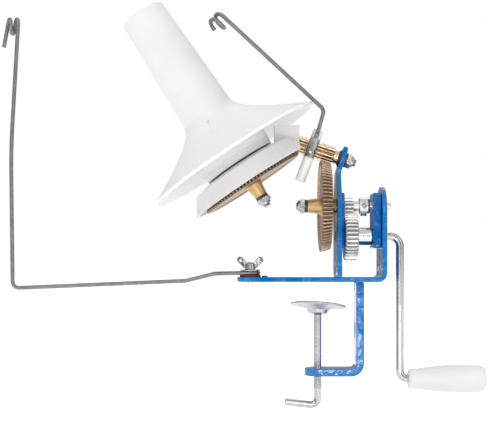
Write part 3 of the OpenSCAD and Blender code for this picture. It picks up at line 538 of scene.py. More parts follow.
def rod(path, radius, sides=24, ends=0.4):
    """A round rod along a path. A frame is carried from point to point so that the rod doesn't
    twist, and each end is a flat with a rounded edge."""
    run = np.gradient(path, axis=0)
    run[0], run[-1] = path[1] - path[0], path[-1] - path[-2]
    run /= np.linalg.norm(run, axis=1)[:, None]
    first = np.empty_like(run)
    carried = np.cross(run[0], (0.31, 0.9, 0.2))
    for i, t in enumerate(run):
        carried = carried - t * (carried @ t)
        first[i] = carried = carried / np.linalg.norm(carried)
    a = np.linspace(0, math.pi / 2, 4)
    inset, on = ends * (1 - np.sin(a)), ends * (1 - np.cos(a))
    centre = np.vstack([
        path[:1], path[0] + run[0] * on[:, None], path[1:-1],
        path[-1] - run[-1] * on[::-1, None], path[-1:]])
    reach = np.concatenate([[0], radius - inset, np.full(len(path) - 2, radius), radius - inset[::-1], [0]])
    which = np.r_[np.zeros(5, int), 1:len(path) - 1, np.full(5, len(path) - 1)]
    first, second = first[which], np.cross(run, first)[which]
    angle = np.arange(sides)[:, None] * 2 * math.pi / sides
    points = centre[:, None] + reach[:, None, None] * (
        np.cos(angle) * first[:, None] + np.sin(angle) * second[:, None])
    return points.reshape(-1, 3), grid_quads(len(centre), sides, close_columns=True)[:, ::-1]


bright_zinc = new_material("bright_zinc", (0.47, 0.475, 0.48), 1, 0.22)
tinted(bright_zinc, noise_on(bright_zinc, 60, 3), (0.3, (0.43, 0.435, 0.445)), (0.7, (0.53, 0.53, 0.53)))
worn(bright_zinc, (0.64, 0.635, 0.63))
roughened(bright_zinc, noise_on(bright_zinc, 200, 2), 0.14, 0.24)
embossed(bright_zinc, noise_on(bright_zinc, 700, 2), 0.006)
make_piece("crank_rod", [rod(bent_path([
    (13.8, 0, CRANK_Z), (CRANK_ARM_X, 0, CRANK_Z), (CRANK_ARM_X, 0, GRIP_Z), (112.3, 0, GRIP_Z)],
    (7.6, 5.8)), 3)], bright_zinc, "crank")

# Drive gear and sleeve: the large steel gear is milled, and its tooth ends are chamfered. A
# polished sleeve keeps it off the rear bearing block.
PRESSURE = math.radians(25)
GEAR_X = 20


def gear_line(teeth, pitch_r, tip, root, thickness, phase=0.0):
    """Angles and radii of a spur gear's outline. A flank is the involute of the base circle: at
    radius r it has turned by tan(c) - c, where cos(c) = base / r. Root corners are rounded."""
    base = pitch_r * math.cos(PRESSURE)
    low = max(base, root)
    c = np.arccos(base / pitch_r)
    half = thickness / (2 * pitch_r) + math.tan(c) - c
    radii = low + (tip - low) * np.array([0.12, 0.4, 0.7, 0.94, 1])
    c = np.arccos(base / radii)
    turn = np.tan(c) - c
    turn[-1] += 0.06 / tip
    radii = np.concatenate([[root], radii])
    turn = np.concatenate([[turn[0] - 0.2 / root], turn]) - half
    angle = np.concatenate([turn, -turn[::-1]])
    mids = phase + np.arange(teeth)[:, None] * 2 * math.pi / teeth
    return (mids + angle).ravel(), np.tile(np.concatenate([radii, radii[::-1]]), teeth)


def spur(line, profile, place, axis):
    """A lathe shape whose radius stops at a spur gear's outline. WIDE in the profile is the
    outline itself, and smaller radii there chamfer the tooth ends."""
    angles, outline = line
    return turned(np.array(profile, float), place, axis, angles, lambda angle, height: outline[None], True)


def painted_gap_shade(material, radius, inner, root, unshaded, full, colour):
    """Paints shade into the tooth gaps: none inside the inner radius, all from the root to the full radius, and none
    from the radius where the painted shade ends out to the tips. The radius is a value from far_from."""
    gap_shade_share = times(material, stepped(material, radius, inner, root), stepped(material, radius, unshaded, full))
    mixed(material, gap_shade_share, colour)


def milled(name, place, root, tip):
    """Milled steel, brushed along the teeth, with bright edges and painted shade in the gaps."""
    material = new_material(name, (0.7, 0.69, 0.67), 1, 0.34)
    tinted(material, noise_on(material, 200, 3), (0.3, (0.64, 0.635, 0.62)), (0.7, (0.78, 0.77, 0.74)))
    worn(material, (0.9, 0.9, 0.88))
    radius = far_from(material, place, ALONG_X)
    painted_gap_shade(material, radius, root - 0.3, root - 0.1, root + 0.7, root + 0.1, (0.3, 0.3, 0.3))
    roughened(material, noise_on(material, 900, 2, (1, 6, 6)), 0.3, 0.44)
    embossed(material, noise_on(material, 1600, 2, (1, 5, 5)), 0.005)
    return material


WIDE = 999
drive_steel = milled("drive_steel", (GEAR_X, 0, CRANK_Z), 16.2, 18.2)
make_piece("drive_gear", [spur(gear_line(35, 17.5, 18.2, 16.2, 1.4, math.pi), [
    (3, 0), (7, 0), (15.4, 0), (17.3, 0), (WIDE, 1.1), (WIDE, 8.7), (17.3, 9.8), (15.4, 9.8), (7, 9.8), (3, 9.8)],
    (GEAR_X, 0, CRANK_Z), ALONG_X)], drive_steel, "crank", crease=30)

polished_steel = new_material("polished_steel", (0.7, 0.71, 0.73), 1, 0.1)
roughened(polished_steel, noise_on(polished_steel, 300, 3), 0.06, 0.16)
tinted(polished_steel, noise_on(polished_steel, 90, 3), (0.3, (0.62, 0.63, 0.66)), (0.7, (0.78, 0.79, 0.8)))
worn(polished_steel, (0.5, 0.5, 0.52))
embossed(polished_steel, noise_on(polished_steel, 1200, 2, (8, 1, 1)), 0.006)
make_piece("drive_sleeve", [ring(3, 7.2, 29.8, 40.8, (0, 0, CRANK_Z), ALONG_X, 0.5, 96)],
           polished_steel, "crank")

# Grip: a moulded white handle, waisted towards the crank, that turns freely on the rod's end. A
# push-on ring inside it keeps it there.
GRIP_X = 68.8
GRIP_LENGTH = 58.9

white_moulding = new_material("white_moulding", (0.76, 0.75, 0.745), 0, 0.4, Specular_IOR_Level=0.35)
tinted(white_moulding, noise_on(white_moulding, 30, 3), (0.3, (0.73, 0.715, 0.7)), (0.7, (0.78, 0.77, 0.765)))
worn(white_moulding, (0.78, 0.775, 0.77), 90)
roughened(white_moulding, noise_on(white_moulding, 220, 3), 0.36, 0.48)
embossed(white_moulding, noise_on(white_moulding, 900, 2), 0.004)
# The grip's white is copied and painted darker towards its bottom: painted shade under the grip.
grip_white_painted_shade = white_moulding.copy()
grip_white_painted_shade.name = "grip_white_painted_shade"
mixed(grip_white_painted_shade, stepped(grip_white_painted_shade, far_from(grip_white_painted_shade, (0, 0, GRIP_Z + 40), ALONG_X), 37, 52), (0.6, 0.59, 0.58))
make_piece("crank_grip", [turned(rounded([
    (3.08, 0, 0.4), (6.6, 0, 0.8), (7.5, 1.3, 1.2), (7.7, 6, 20), (8.6, 13, 30), (9.6, 20.5, 30), (10.25, 28, 20),
    (10.25, GRIP_LENGTH, 6), (0, GRIP_LENGTH, 0), (0, 47, 0), (3.08, 47, 0)], 8, False)[:, :2],
    (GRIP_X, 0, GRIP_Z), ALONG_X, 96, closed=True)], grip_white_painted_shade, "grip")
make_piece("grip_ring", [ring(3, 4.8, 41.4, 42.6, (GRIP_X, 0, GRIP_Z), ALONG_X)],
           bright_zinc, "crank")

# Layshaft: a thin steel shaft through both uprights, threaded at its left end. Between them it
# carries a small milled pinion with a long hub, a collar held by two set screws, and a washer.
shaft_steel = new_material("shaft_steel", (0.42, 0.42, 0.43), 1, 0.24)
tinted(shaft_steel, noise_on(shaft_steel, 150, 3), (0.3, (0.37, 0.37, 0.39)), (0.7, (0.47, 0.47, 0.48)))
worn(shaft_steel, (0.75, 0.75, 0.75))
roughened(shaft_steel, noise_on(shaft_steel, 400, 2), 0.18, 0.28)
embossed(shaft_steel, noise_on(shaft_steel, 1500, 2), 0.003)


def threaded(radius, pitch, low, high, depth=None, steps=6, inset=0.5):
    """A profile and its cut for a threaded length: the radius falls and rises once a turn, by
    depth (1 - |1 - 2 f|), where f is the fraction of the pitch at height / pitch - angle / turn."""
    depth = 0.55 * pitch if depth is None else depth
    count = int((high - low) / pitch * steps) + 2
    heights = np.linspace(low, high, count)
    profile = np.column_stack([np.full(count, radius), heights])
    profile[0, 0] = profile[-1, 0] = radius - inset

    def cut(angle, height):
        f = np.mod(height / pitch - angle / (2 * math.pi), 1)
        valley = radius - depth * (1 - np.abs(1 - 2 * f))
        return np.where((height > low - 0.01) & (height < high + 0.01), valley, WIDE)
    return profile, cut


lay_thread, lay_cut = threaded(3, 1, -16.2, -8)
make_piece("layshaft", [turned(np.vstack([
    [(0, -16.3), (2.3, -16.3)], lay_thread, [(3, -7.9), (3, 54.8), (2.5, 55.3), (0, 55.3)]]),
    (0, 0, LAY_Z), ALONG_X, 48, lay_cut)], shaft_steel, "layshaft")
pinion_steel = milled("pinion_steel", (GEAR_X, 0, LAY_Z), 4.35, 6.4)
make_piece("layshaft_pinion", [
    spur(gear_line(11, 5.5, 6.4, 4.35, 1.4, math.pi / 11), [
        (3, 0), (3.9, 0), (5.9, 0), (WIDE, 0.5), (WIDE, 6.7), (5.9, 7.2), (3.9, 7.2), (3, 7.2)],
        (GEAR_X, 0, LAY_Z), ALONG_X),
    ring(3, 4, 7, 11.4, (GEAR_X, 0, LAY_Z), ALONG_X)], pinion_steel, "layshaft", crease=30)
COLLAR_X = 31.4
make_piece("shaft_collar", [ring(3, 6.4, 0, 6.9, (COLLAR_X, 0, LAY_Z), ALONG_X, 0.6, 96)],
           polished_steel, "layshaft")


def socket_screw(radius, socket, low, high, place, across):
    """A set screw's head round an axis square to the shaft: a rim round a six-sided socket."""
    def flats(angle, height):
        wide = socket / np.cos(np.mod(angle, math.pi / 3) - math.pi / 6)
        return np.where(height < high - 0.05, wide, WIDE)
    points, quads = turned(np.array([
        (0, high - 0.9), (socket * 0.6, high - 0.9), (WIDE, high - 0.85), (WIDE, high - 0.1),
        (socket + 0.35, high), (radius - 0.2, high), (radius, high - 0.25), (radius, low)], float),
        (0, 0, 0), (0, 1), 48, flats)
    rim = points[:, :2]
    points = np.column_stack([rim, points[:, 2]])
    turn = {"front": ((1, 0, 0), (0, 0, 1), (0, -1, 0)), "below": ((1, 0, 0), (0, -1, 0), (0, 0, -1))}[across]
    return points @ np.array(turn, float) + place, quads[:, ::-1]


black_oxide = new_material("black_oxide", (0.03, 0.03, 0.035), 0.6, 0.42)
tinted(black_oxide, noise_on(black_oxide, 500, 3), (0.3, (0.018, 0.018, 0.02)), (0.75, (0.06, 0.06, 0.065)))
worn(black_oxide, (0.22, 0.21, 0.2))
roughened(black_oxide, noise_on(black_oxide, 900, 3), 0.32, 0.55)
embossed(black_oxide, noise_on(black_oxide, 1300, 2), 0.006)
make_piece("collar_washer", [ring(3, 5.6, 38.3, 39.3, (0, 0, LAY_Z), ALONG_X)],
           black_oxide, "layshaft")

# Front gear: a large sintered bronze gear on the layshaft's left end. Its face is bevelled to
# meet the slanted pinion, its web is thin, and a black washer and a lock nut hold its hub.
SLOT = np.array([
    (-1.16, 0.65), (-1.07, 0.55), (-0.42, -0.86), (-0.28, -0.98),
    (0.28, -0.98), (0.42, -0.86), (1.07, 0.55), (1.16, 0.65)])


def bevelled_gear(before, rim, after, count, slope, place, axis):
    """A lathe shape with straight tooth gaps cut along a conical rim. before and after are plain
    (radius, height) points. A rim point is (pitch radius, height, trim), and there the outline is
    SLOT's offset across the gap and its level along the cone's normal, less the trim at the tips."""
    plain_before = np.column_stack([before, np.full(len(before), np.nan)])
    plain_after = np.column_stack([after, np.full(len(after), np.nan)])
    rows = np.vstack([plain_before, rim, plain_after])
    toothed = ~np.isnan(rows[:, 2])[:, None]
    offset, level = np.tile(SLOT[:, 0], count), np.tile(SLOT[:, 1], count)
    level = np.where(toothed, np.minimum(level, level.max() - np.nan_to_num(rows[:, 2:])), 0)
    radius = rows[:, :1] + level * math.cos(slope)
    height = rows[:, 1:2] + level * math.sin(slope)
    reference = np.where(toothed, radius, np.mean([r for r, _, _ in rim]))
    angle = np.repeat(np.arange(count), len(SLOT)) * 2 * math.pi / count + offset / reference
    points = np.stack([radius * np.cos(angle), radius * np.sin(angle), height], -1)
    quads = grid_quads(len(rows), count * len(SLOT), True, True)[:, ::-1]
    return stand(points, place, axis).reshape(-1, 3), quads


def sintered(name, radius_from, root, tip, shade=1.0):
    """Sintered bronze: bright and dull grains, pores and a blotchy tone, a turned hub that is brighter and smoother,
    rubbed edges, and painted shade in the tooth gaps. A shade below 1 dims its tones and rubbed edges as painted shade."""
    place, axis, slope = radius_from
    material = new_material(name, (0.44, 0.3, 0.19), 0.8, 0.42)
    dull, bright = [tuple(shade * v for v in tone) for tone in ((0.35, 0.235, 0.155), (0.5, 0.345, 0.23))]
    tinted(material, noise_on(material, 350, 4), (0.32, dull), (0.68, bright))
    hub = stepped(material, far_from(material, place, axis), 7.2, 6.4)
    mixed(material, hub, (0.6, 0.4, 0.18))
    worn(material, (0.6 * shade, 0.44 * shade, 0.29 * shade))
    level = far_from(material, place, axis, slope)
    painted_gap_shade(material, level, root - 1.0, root - 0.5, tip - 0.5, root + 0.2, (0.21, 0.145, 0.095))
    roughened(material, noise_on(material, 800, 3), 0.32, 0.5)
    embossed(material, noise_on(material, 2200, 3), 0.01)
    return material


front_slope = math.tan(SLOPE)
front_bronze = sintered(
    "front_bronze", ((5.7, 0, LAY_Z), ALONG_X, front_slope), 32.3, 33.95)
make_piece("front_gear", [bevelled_gear(
    np.vstack([rounded([(3, -7.4, 0), (3, -7.8, 0), (4.9, -7.8, 0.4), (6.1, 1, 3), (7.5, 3.2, 1.6),
                        (28.6, 3.2, 0.8), (30, 1.9, 0.3)], 4), [(31, 1.9), (32.8, 1.9)]]),
    [(33.3 - (x - 5.7) * front_slope, x, trim) for x, trim in (
        (1.9, 0.5), (2.3, 0), (4.2, 0), (5.7, 0), (7.2, 0), (9.1, 0), (9.5, 0.5))],
    np.vstack([[(30.6, 9.5)], rounded([(28.9, 9.5, 0.3), (27.6, 7.4, 0.8), (7.4, 7.4, 1.5), (6.4, 11.7, 0.5), (3, 11.7, 0)], 4)]),
    74, SLOPE, (0, 0, LAY_Z), ALONG_X)], front_bronze, "layshaft", crease=32)
make_piece("front_gear_washer", [ring(3, 4.9, -9.8, -7.8, (0, 0, LAY_Z), ALONG_X)],
           black_oxide, "layshaft")


def lock_nut(place, axis, sign=1, flats=9.6, bore=3, height=5.4):
    """A lock nut that stands along its axis: six flats cut by chamfer cones, and a round collar.
    The hexagon's radius is half its width over cos(angle from the nearest flat's middle)."""
    half = flats / 2
    corner = half / math.cos(math.pi / 6)
    top = height * 0.7
    profile = np.array([
        (bore, 0.4), (bore + 0.4, 0), (half * 0.96, 0), (half * 1.02, 0.14), (half * 1.09, 0.3), (corner + 0.05, 0.5),
        (corner + 0.05, top - 0.5), (half * 1.09, top - 0.3), (half * 1.02, top - 0.12), (half * 0.95, top),
        (half * 0.88, top), (half * 0.87, height - 0.5), (half * 0.8, height - 0.1), (half * 0.72, height),
        (bore + 0.35, height), (bore + 0.3, height - 0.5), (bore, height - 0.6)])

    def hexagon(angle, z):
        return half / np.cos(np.mod(angle, math.pi / 3) - math.pi / 6)
    points, quads = turned(profile * (1, sign), place, axis, 72, hexagon, True)
    return points, quads if sign > 0 else quads[:, ::-1]


nut_zinc = new_material("nut_zinc", (0.42, 0.43, 0.46), 1, 0.24)
tinted(nut_zinc, noise_on(nut_zinc, 150, 3), (0.3, (0.36, 0.37, 0.4)), (0.7, (0.48, 0.49, 0.52)))
worn(nut_zinc, (0.62, 0.62, 0.63))
roughened(nut_zinc, noise_on(nut_zinc, 400, 2), 0.18, 0.32)
embossed(nut_zinc, noise_on(nut_zinc, 900, 2), 0.006)
make_piece("front_gear_nut", [lock_nut((-9.8, 0, LAY_Z), ALONG_X, -1)],
           nut_zinc, "layshaft")

# Long pinion: bright turned brass with two lengths of teeth, one for each bevelled gear, and a
# plain neck between them. It turns on a bolt between the housing and the ear.
ALONG_PINION = (math.cos(SLOPE), -math.sin(SLOPE))
PINION_PLACE = (5.7, 0, 97.424)

pinion_brass = new_material("pinion_brass", (0.72, 0.5, 0.2), 1, 0.24)
tinted(pinion_brass, noise_on(pinion_brass, 120, 3), (0.3, (0.66, 0.5, 0.33)), (0.7, (0.77, 0.6, 0.42)))
worn(pinion_brass, (0.9, 0.78, 0.58))
# The darker band at the tooth roots is painted shade in the gaps.
painted_gap_shade(pinion_brass, far_from(pinion_brass, PINION_PLACE, ALONG_PINION), 5.12, 5.18, 6.2, 5.5, (0.36, 0.23, 0.12))
roughened(pinion_brass, noise_on(pinion_brass, 400, 2), 0.2, 0.3)
embossed(pinion_brass, noise_on(pinion_brass, 1500, 2), 0.004)
make_piece("idler_pinion", [spur(gear_line(14, 6.3, 7, 5.2, 1.2), [
    (3.05, -28.2), (4.6, -28.2), (6.5, -28.2), (WIDE, -27.7), (WIDE, -15.7), (6.5, -15.2), (4.7, -15.2),
    (4.6, -15.1), (4.6, -7.3), (4.7, -7.2), (6.5, -7.2), (WIDE, -6.7), (WIDE, 6.3), (6.5, 6.8), (5.05, 6.8),
    (5.05, 10), (4.8, 10.3), (3.05, 10.3)], PINION_PLACE, ALONG_PINION)],
    pinion_brass, "idler", crease=32)
bolt_thread, bolt_cut = threaded(3, 1, 17, 24.3)
make_piece("idler_bolt", [turned(np.vstack([
    [(0, -34), (2.6, -34), (3, -33.6), (3, 16.9)], bolt_thread, [(2.2, 24.5), (0, 24.5)]]),
    PINION_PLACE, ALONG_PINION, 48, bolt_cut)], shaft_steel, "frame")
make_piece("idler_washers", [
    ring(3, outer, low, high, PINION_PLACE, ALONG_PINION)
    for outer, low, high in ((5.9, 10.4, 11.2), (6.6, 11.2, 11.9), (5.6, 15.4, 17))],
    black_oxide, "frame")
make_piece("idler_nut", [lock_nut(tuple(np.add(PINION_PLACE, 17 * np.array([
    ALONG_PINION[0], 0, ALONG_PINION[1]]))), ALONG_PINION)], nut_zinc, "frame")

# Cone housing: a white moulding bolted behind the cone. Its dish covers the cone gear, and the
# box beside it holds the long pinion's end. The dish is open below.
SPINDLE = (-0.5476, 0.8368)
CROSSING = (-82.748, 0, 126.163)


def from_cad(name, material, body, bevel, crease=38):
    """A copy of a node's own mesh: its doubled points and flat triangles are merged, and its
    edges rounded by a bevel."""
    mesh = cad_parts[name].data.copy()
    work = bmesh.new()
    work.from_mesh(mesh)
    bmesh.ops.remove_doubles(work, verts=work.verts, dist=2e-6)
    bmesh.ops.dissolve_limit(work, angle_limit=math.radians(1), verts=work.verts, edges=work.edges)
    work.to_mesh(mesh)
    work.free()
    piece = finish_piece(name, mesh, material, body, [name], crease)
    rounding = piece.modifiers.new("broken_edges", "BEVEL")
    rounding.width = bevel * METRE
    rounding.segments = 3
    rounding.limit_method = "ANGLE"
    rounding.angle_limit = math.radians(35)
    piece.modifiers.move(1, 0)
    return piece


from_cad("cone_housing", white_moulding, "frame", 0.5)
make_piece("spindle_bush", [ring(4.05, 6, -53.3, -44.9, CROSSING, SPINDLE)],
           bush_bronze, "frame")

# Spindle and cone gear: the steel spindle runs through the housing. Below the dish it carries
# the second sintered bronze gear, with its teeth on a steep cone, and a washer and a lock nut.
spindle_thread, spindle_cut = threaded(3, 1, -81.9, -73)
make_piece("spindle", [turned(np.vstack([
    [(0, -82), (2.3, -82)], spindle_thread,
    [(3, -72.9), (3, -53.6), (4, -53.6), (4, -44.6), (7, -44.6), (7, -43.9), (4, -43.9), (4, -22.4), (3.6, -22), (0, -22)]]),
    CROSSING, SPINDLE, 48, spindle_cut)], shaft_steel, "winding_cone")
CONE_SLOPE = math.radians(38.8)
cone_slope = math.tan(CONE_SLOPE)
gear_middle = tuple(np.add(CROSSING, -58.19 * np.array([SPINDLE[0], 0, SPINDLE[1]])))
# The cone gear's bronze is dimmed to 0.75 of the front gear's: painted shade under the dish.
cone_bronze = sintered("cone_bronze", (gear_middle, SPINDLE, cone_slope), 37.45, 39.5, 0.75)
make_piece("cone_gear", [bevelled_gear(
    np.vstack([rounded([
        (3, -72.2, 0), (3, -72.6, 0), (4.9, -72.6, 0.4), (6.1, -63.4, 3), (7.4, -61.6, 1.2), (34.6, -61.6, 0.5),
        (36, -62.6, 0.5)], 4), [(39.6, -62.6), (40.3, -62.3)]]),
    [(38.7 - (z + 58.19) * cone_slope, z, trim) for z, trim in (
        (-61.39, 0.5), (-61.1, 0), (-59.6, 0), (-58.19, 0), (-56.8, 0), (-55.3, 0), (-54.99, 0.5))],
    rounded([(34.9, -55.4, 0), (34.2, -55.6, 0.3), (32.4, -58.4, 0.8), (8.6, -58.4, 1), (8, -53.6, 0.4), (3, -53.6, 0)], 4),
    86, CONE_SLOPE, CROSSING, SPINDLE)], cone_bronze, "winding_cone", crease=32)
make_piece("cone_gear_washer", [ring(3, 4.9, -74.6, -72.6, CROSSING, SPINDLE)],
           black_oxide, "winding_cone")


def on_spindle(height):
    """The point at that height on the spindle's axis."""
    return tuple(np.add(CROSSING, height * np.array([SPINDLE[0], 0, SPINDLE[1]])))


make_piece("cone_gear_nut", [lock_nut(on_spindle(-74.6), SPINDLE, -1)],
           nut_zinc, "winding_cone")

# Winding cone: one white moulding, a slightly tapered tube that opens into a wide flare, with a
# round hub below. A nut and washer inside the tube hold it on the spindle.
WALL = 2.2
RIM_R = 70.8
RIM_LOW = -36.5
SLIT_ANGLE = math.radians(-98.8)
SLIT_ENDS = (-17.6, -6.0)
SLIT_HALF = 0.6
SLIT_DEEP = 0.9


def flare(inset, t):
    """The flare's curve from the tube's foot to the rim: a (1-t)^2 + 2 b t (1-t) + c t^2."""
    t = t[:, None]
    a = np.array([20.6 - inset, 2])
    b = np.array([21.5 - inset, -10 - inset])
    c = np.array([RIM_R - inset * 0.4, RIM_LOW + 2.1 - inset * 0.95])
    return a * (1 - t) ** 2 + 2 * b * t * (1 - t) + c * t ** 2


def slitted(angle, height):
    """The flare's outer radius less the slit's depth inside the slit, and no limit elsewhere."""
    outer = np.interp(height, outside[::-1, 1], outside[::-1, 0])
    away = np.abs(np.mod(angle - SLIT_ANGLE + math.pi, 2 * math.pi) - math.pi) * outer
    inside = (away < SLIT_HALF) & (height > SLIT_ENDS[0]) & (height < SLIT_ENDS[1])
    return np.where(inside, outer - SLIT_DEEP, WIDE)


share = np.linspace(0, 1, 40)
ends = [end + side for end in SLIT_ENDS for side in (-0.08, 0.08)]
outside = flare(0, share)
share = np.sort(np.append(share, np.interp(ends, outside[::-1, 1], share[::-1])))
outside = flare(0, share)
tube_foot = np.column_stack([np.linspace(17.1, 20.6, 24), np.linspace(90.9, 2, 24)])
cone_profile = np.vstack([
    [(RIM_R - 0.8, RIM_LOW), (RIM_R - 0.3, RIM_LOW + 0.05), (RIM_R, RIM_LOW + 0.5), (RIM_R, RIM_LOW + 1.3)],
    outside[::-1], tube_foot[::-1][1:],
    rounded([(17.13, 90.9, 0), (17.1, 91.7, 0.7), (14.9, 91.7, 0.7), (14.9, 90.9, 0)], 4),
    flare(WALL, share)])
cone_angles = np.sort(np.append(
    np.arange(160) * 2 * math.pi / 160 - math.pi, SLIT_ANGLE + np.array([-0.031, -0.0225, 0.0225, 0.031])))
# The cone's white is copied and painted lighter from 19 to 27 mm off the spindle outwards: painted light on the flare
# and the hub's outside.
cone_white_painted_light = white_moulding.copy()
cone_white_painted_light.name = "cone_white_painted_light"
mixed(cone_white_painted_light, stepped(cone_white_painted_light, far_from(cone_white_painted_light, CROSSING, SPINDLE), 19, 27), (0.83, 0.82, 0.81))
make_piece("yarn_cone", [
    turned(cone_profile, CROSSING, SPINDLE, cone_angles, slitted, True),
    turned(rounded([
        (4, -43.9, 0), (9, -43.9, 0.3), (9, -41.9, 0), (25.3, -41.9, 0.3), (25.3, -43.2, 0.5), (28.4, -43.2, 0.5),
        (28.4, -38.6, 0.3), (29.1, -38.2, 0.3), (29.1, -13.5, 0), (25.3, -13.5, 0), (25.3, -38.9, 0.5), (9, -38.9, 0.5),
        (9, -31.9, 0.4), (4, -31.9, 0)], 3, True), CROSSING, SPINDLE, 128, closed=True)],
    cone_white_painted_light, "winding_cone")
make_piece("cone_washer", [ring(4, 8, -31.9, -30.5, CROSSING, SPINDLE)],
           nut_zinc, "winding_cone")
make_piece("cone_nut", [lock_nut(on_spindle(-30.5), SPINDLE, 1, 13, 4, 7)],
           nut_zinc, "winding_cone")

# Guide holder: a clear plastic tube on a split ring round the pinion's neck, frosted towards its
# lower end. A steel sleeve in its upper half takes the guide wire, and small screws close it.
HOLDER_UP = (math.sin(math.radians(20)), math.cos(math.radians(20)))
HOLDER_PLACE = (5.7 - 11.2 * ALONG_PINION[0], -14, 97.424 - 11.2 * ALONG_PINION[1])


def clear_to_milky(name, place, axis, low, high):
    """Clear plastic above the high height along an axis, and milky plastic below the low one."""
    material = new_material(name, (0.85, 0.85, 0.85), 0, 0.2, IOR=1.45)
    tree = material.node_tree
    coordinates = tree.nodes.new("ShaderNodeTexCoord")
    height = tree.nodes.new("ShaderNodeVectorMath")
    height.operation = "DOT_PRODUCT"
    height.inputs[1].default_value = (axis[0] / METRE, 0, axis[1] / METRE)
    tree.links.new(coordinates.outputs["Object"], height.inputs[0])
    origin = place[0] * axis[0] + place[2] * axis[1]
    clear = stepped(material, height.outputs["Value"], origin + low, origin + high)
    tinted(material, noise_on(material, 60, 3), (0.3, (0.8, 0.8, 0.79)), (0.7, (0.86, 0.86, 0.855)))
    mixed(material, clear, (0.97, 0.98, 0.98))
    tree.links.new(clear, tree.nodes["Principled BSDF"].inputs["Transmission Weight"])
    roughened(material, noise_on(material, 200, 2), 0.08, 0.2)
    embossed(material, noise_on(material, 300, 2), 0.006)
    return material


from_cad("guide_holder", clear_to_milky("clear_moulding", HOLDER_PLACE, HOLDER_UP, -9.5, -7.5),
         "holder", 0.25)
from_cad("holder_strap", nut_zinc, "holder", 0.2)
from_cad("holder_screws", bright_zinc, "holder", 0.15)
from_cad("collar_screws", nut_zinc, "layshaft", 0.12)
sleeve_steel = new_material("sleeve_steel", (0.3, 0.3, 0.31), 1, 0.3)
tinted(sleeve_steel, noise_on(sleeve_steel, 250, 3), (0.3, (0.2, 0.2, 0.21)), (0.7, (0.4, 0.4, 0.41)))
worn(sleeve_steel, (0.7, 0.7, 0.7))
roughened(sleeve_steel, noise_on(sleeve_steel, 500, 2), 0.24, 0.36)
embossed(sleeve_steel, noise_on(sleeve_steel, 1200, 2), 0.004)
make_piece("holder_sleeve", [ring(1.55, 2.6, -7.5, 7, HOLDER_PLACE, HOLDER_UP, 0.15)],
           sleeve_steel, "holder")

# Guide wires: two bent 3 mm wires of dull grey steel. Each ends in a pigtail eye that the yarn
# can be slipped into.
WIRE = 1.5
EYE = 5.5
EYE_WIDTH = 10.3
EYE_PASS = 0.4
EYE_LEAN = 0.13


def pigtail(start, along, advance, leg):
    """One and a half turns that leave the wire smoothly: the far side is y = EYE (1 - cos(a)) and
    the run EYE sin(a). It leans over at both passes of the top, by EYE_PASS of its width times
    s^2 (3 - 2 s), and is nearly a flat ring between them. A short straight leg follows."""
    a = np.radians(np.arange(10, 541, 10))[:, None]
    s = np.clip(np.stack([a, a - 2 * math.pi]) / math.pi, 0, 1)
    lean = EYE_PASS * (s * s * (3 - 2 * s)).sum(0) + (1 - 2 * EYE_PASS) * a / (3 * math.pi)
    across = np.array([0, 1, 0])
    eye = start + across * EYE * (1 - np.cos(a)) + along * EYE * np.sin(a) + advance * EYE_WIDTH * lean
    tail = start + across * 2 * EYE + advance * (EYE_WIDTH + leg * EYE_LEAN) - along * leg
    return np.vstack([eye, tail[None]])


wire_grey = new_material("wire_grey", (0.24, 0.225, 0.22), 0.9, 0.42)
tinted(wire_grey, noise_on(wire_grey, 120, 3), (0.3, (0.18, 0.172, 0.165)), (0.7, (0.25, 0.237, 0.23)))
worn(wire_grey, (0.34, 0.32, 0.31))
roughened(wire_grey, noise_on(wire_grey, 400, 2), 0.38, 0.48)
embossed(wire_grey, noise_on(wire_grey, 900, 2), 0.006)
holder_low = np.array(HOLDER_PLACE) - 25 * np.array([HOLDER_UP[0], 0, HOLDER_UP[1]])
holder_high = np.array(HOLDER_PLACE) + 14.5 * np.array([HOLDER_UP[0], 0, HOLDER_UP[1]])
wire_corner = np.array([3.95, -14, 128.9])
wire_end = np.array([-71.5, -14, 198.7])
wire_along = (wire_end - wire_corner) / np.linalg.norm(wire_end - wire_corner)
make_piece("cone_guide_wire", [rod(np.vstack([
    bent_path([holder_low, holder_high, wire_corner, wire_end], (14, 5)),
    pigtail(wire_end, wire_along, np.array([-wire_along[2], 0, wire_along[0]]), 0.6)]), WIRE, 20)],
    wire_grey, "guide_wire")

ARM_Z = 6.7
ARM_EYE = 6.3
a = np.radians(np.arange(190, -91, -10))
arm_eye = np.column_stack([STUD_X + ARM_EYE * np.cos(a), ARM_EYE * np.sin(a), np.full(len(a), ARM_Z)])
arm_top = np.array([-226.5, -ARM_EYE, 193.8])
arm_knee = np.array([-231.8, -ARM_EYE, 100.3])
arm_along = (arm_top - arm_knee) / np.linalg.norm(arm_top - arm_knee)
make_piece("yarn_arm", [rod(np.vstack([
    arm_eye, bent_path([
        (STUD_X - 2, -ARM_EYE, ARM_Z), (-77.5, -ARM_EYE, 6.3), (-100.3, -ARM_EYE, 0.8),
        (-230.6, -ARM_EYE, -4.7), arm_knee, arm_top], (10, 10, 4.5, 500), 4),
    pigtail(arm_top, arm_along, np.array([-1.0, 0, 0]), 14.8)]), WIRE, 20)],
    wire_grey, "yarn_arm")

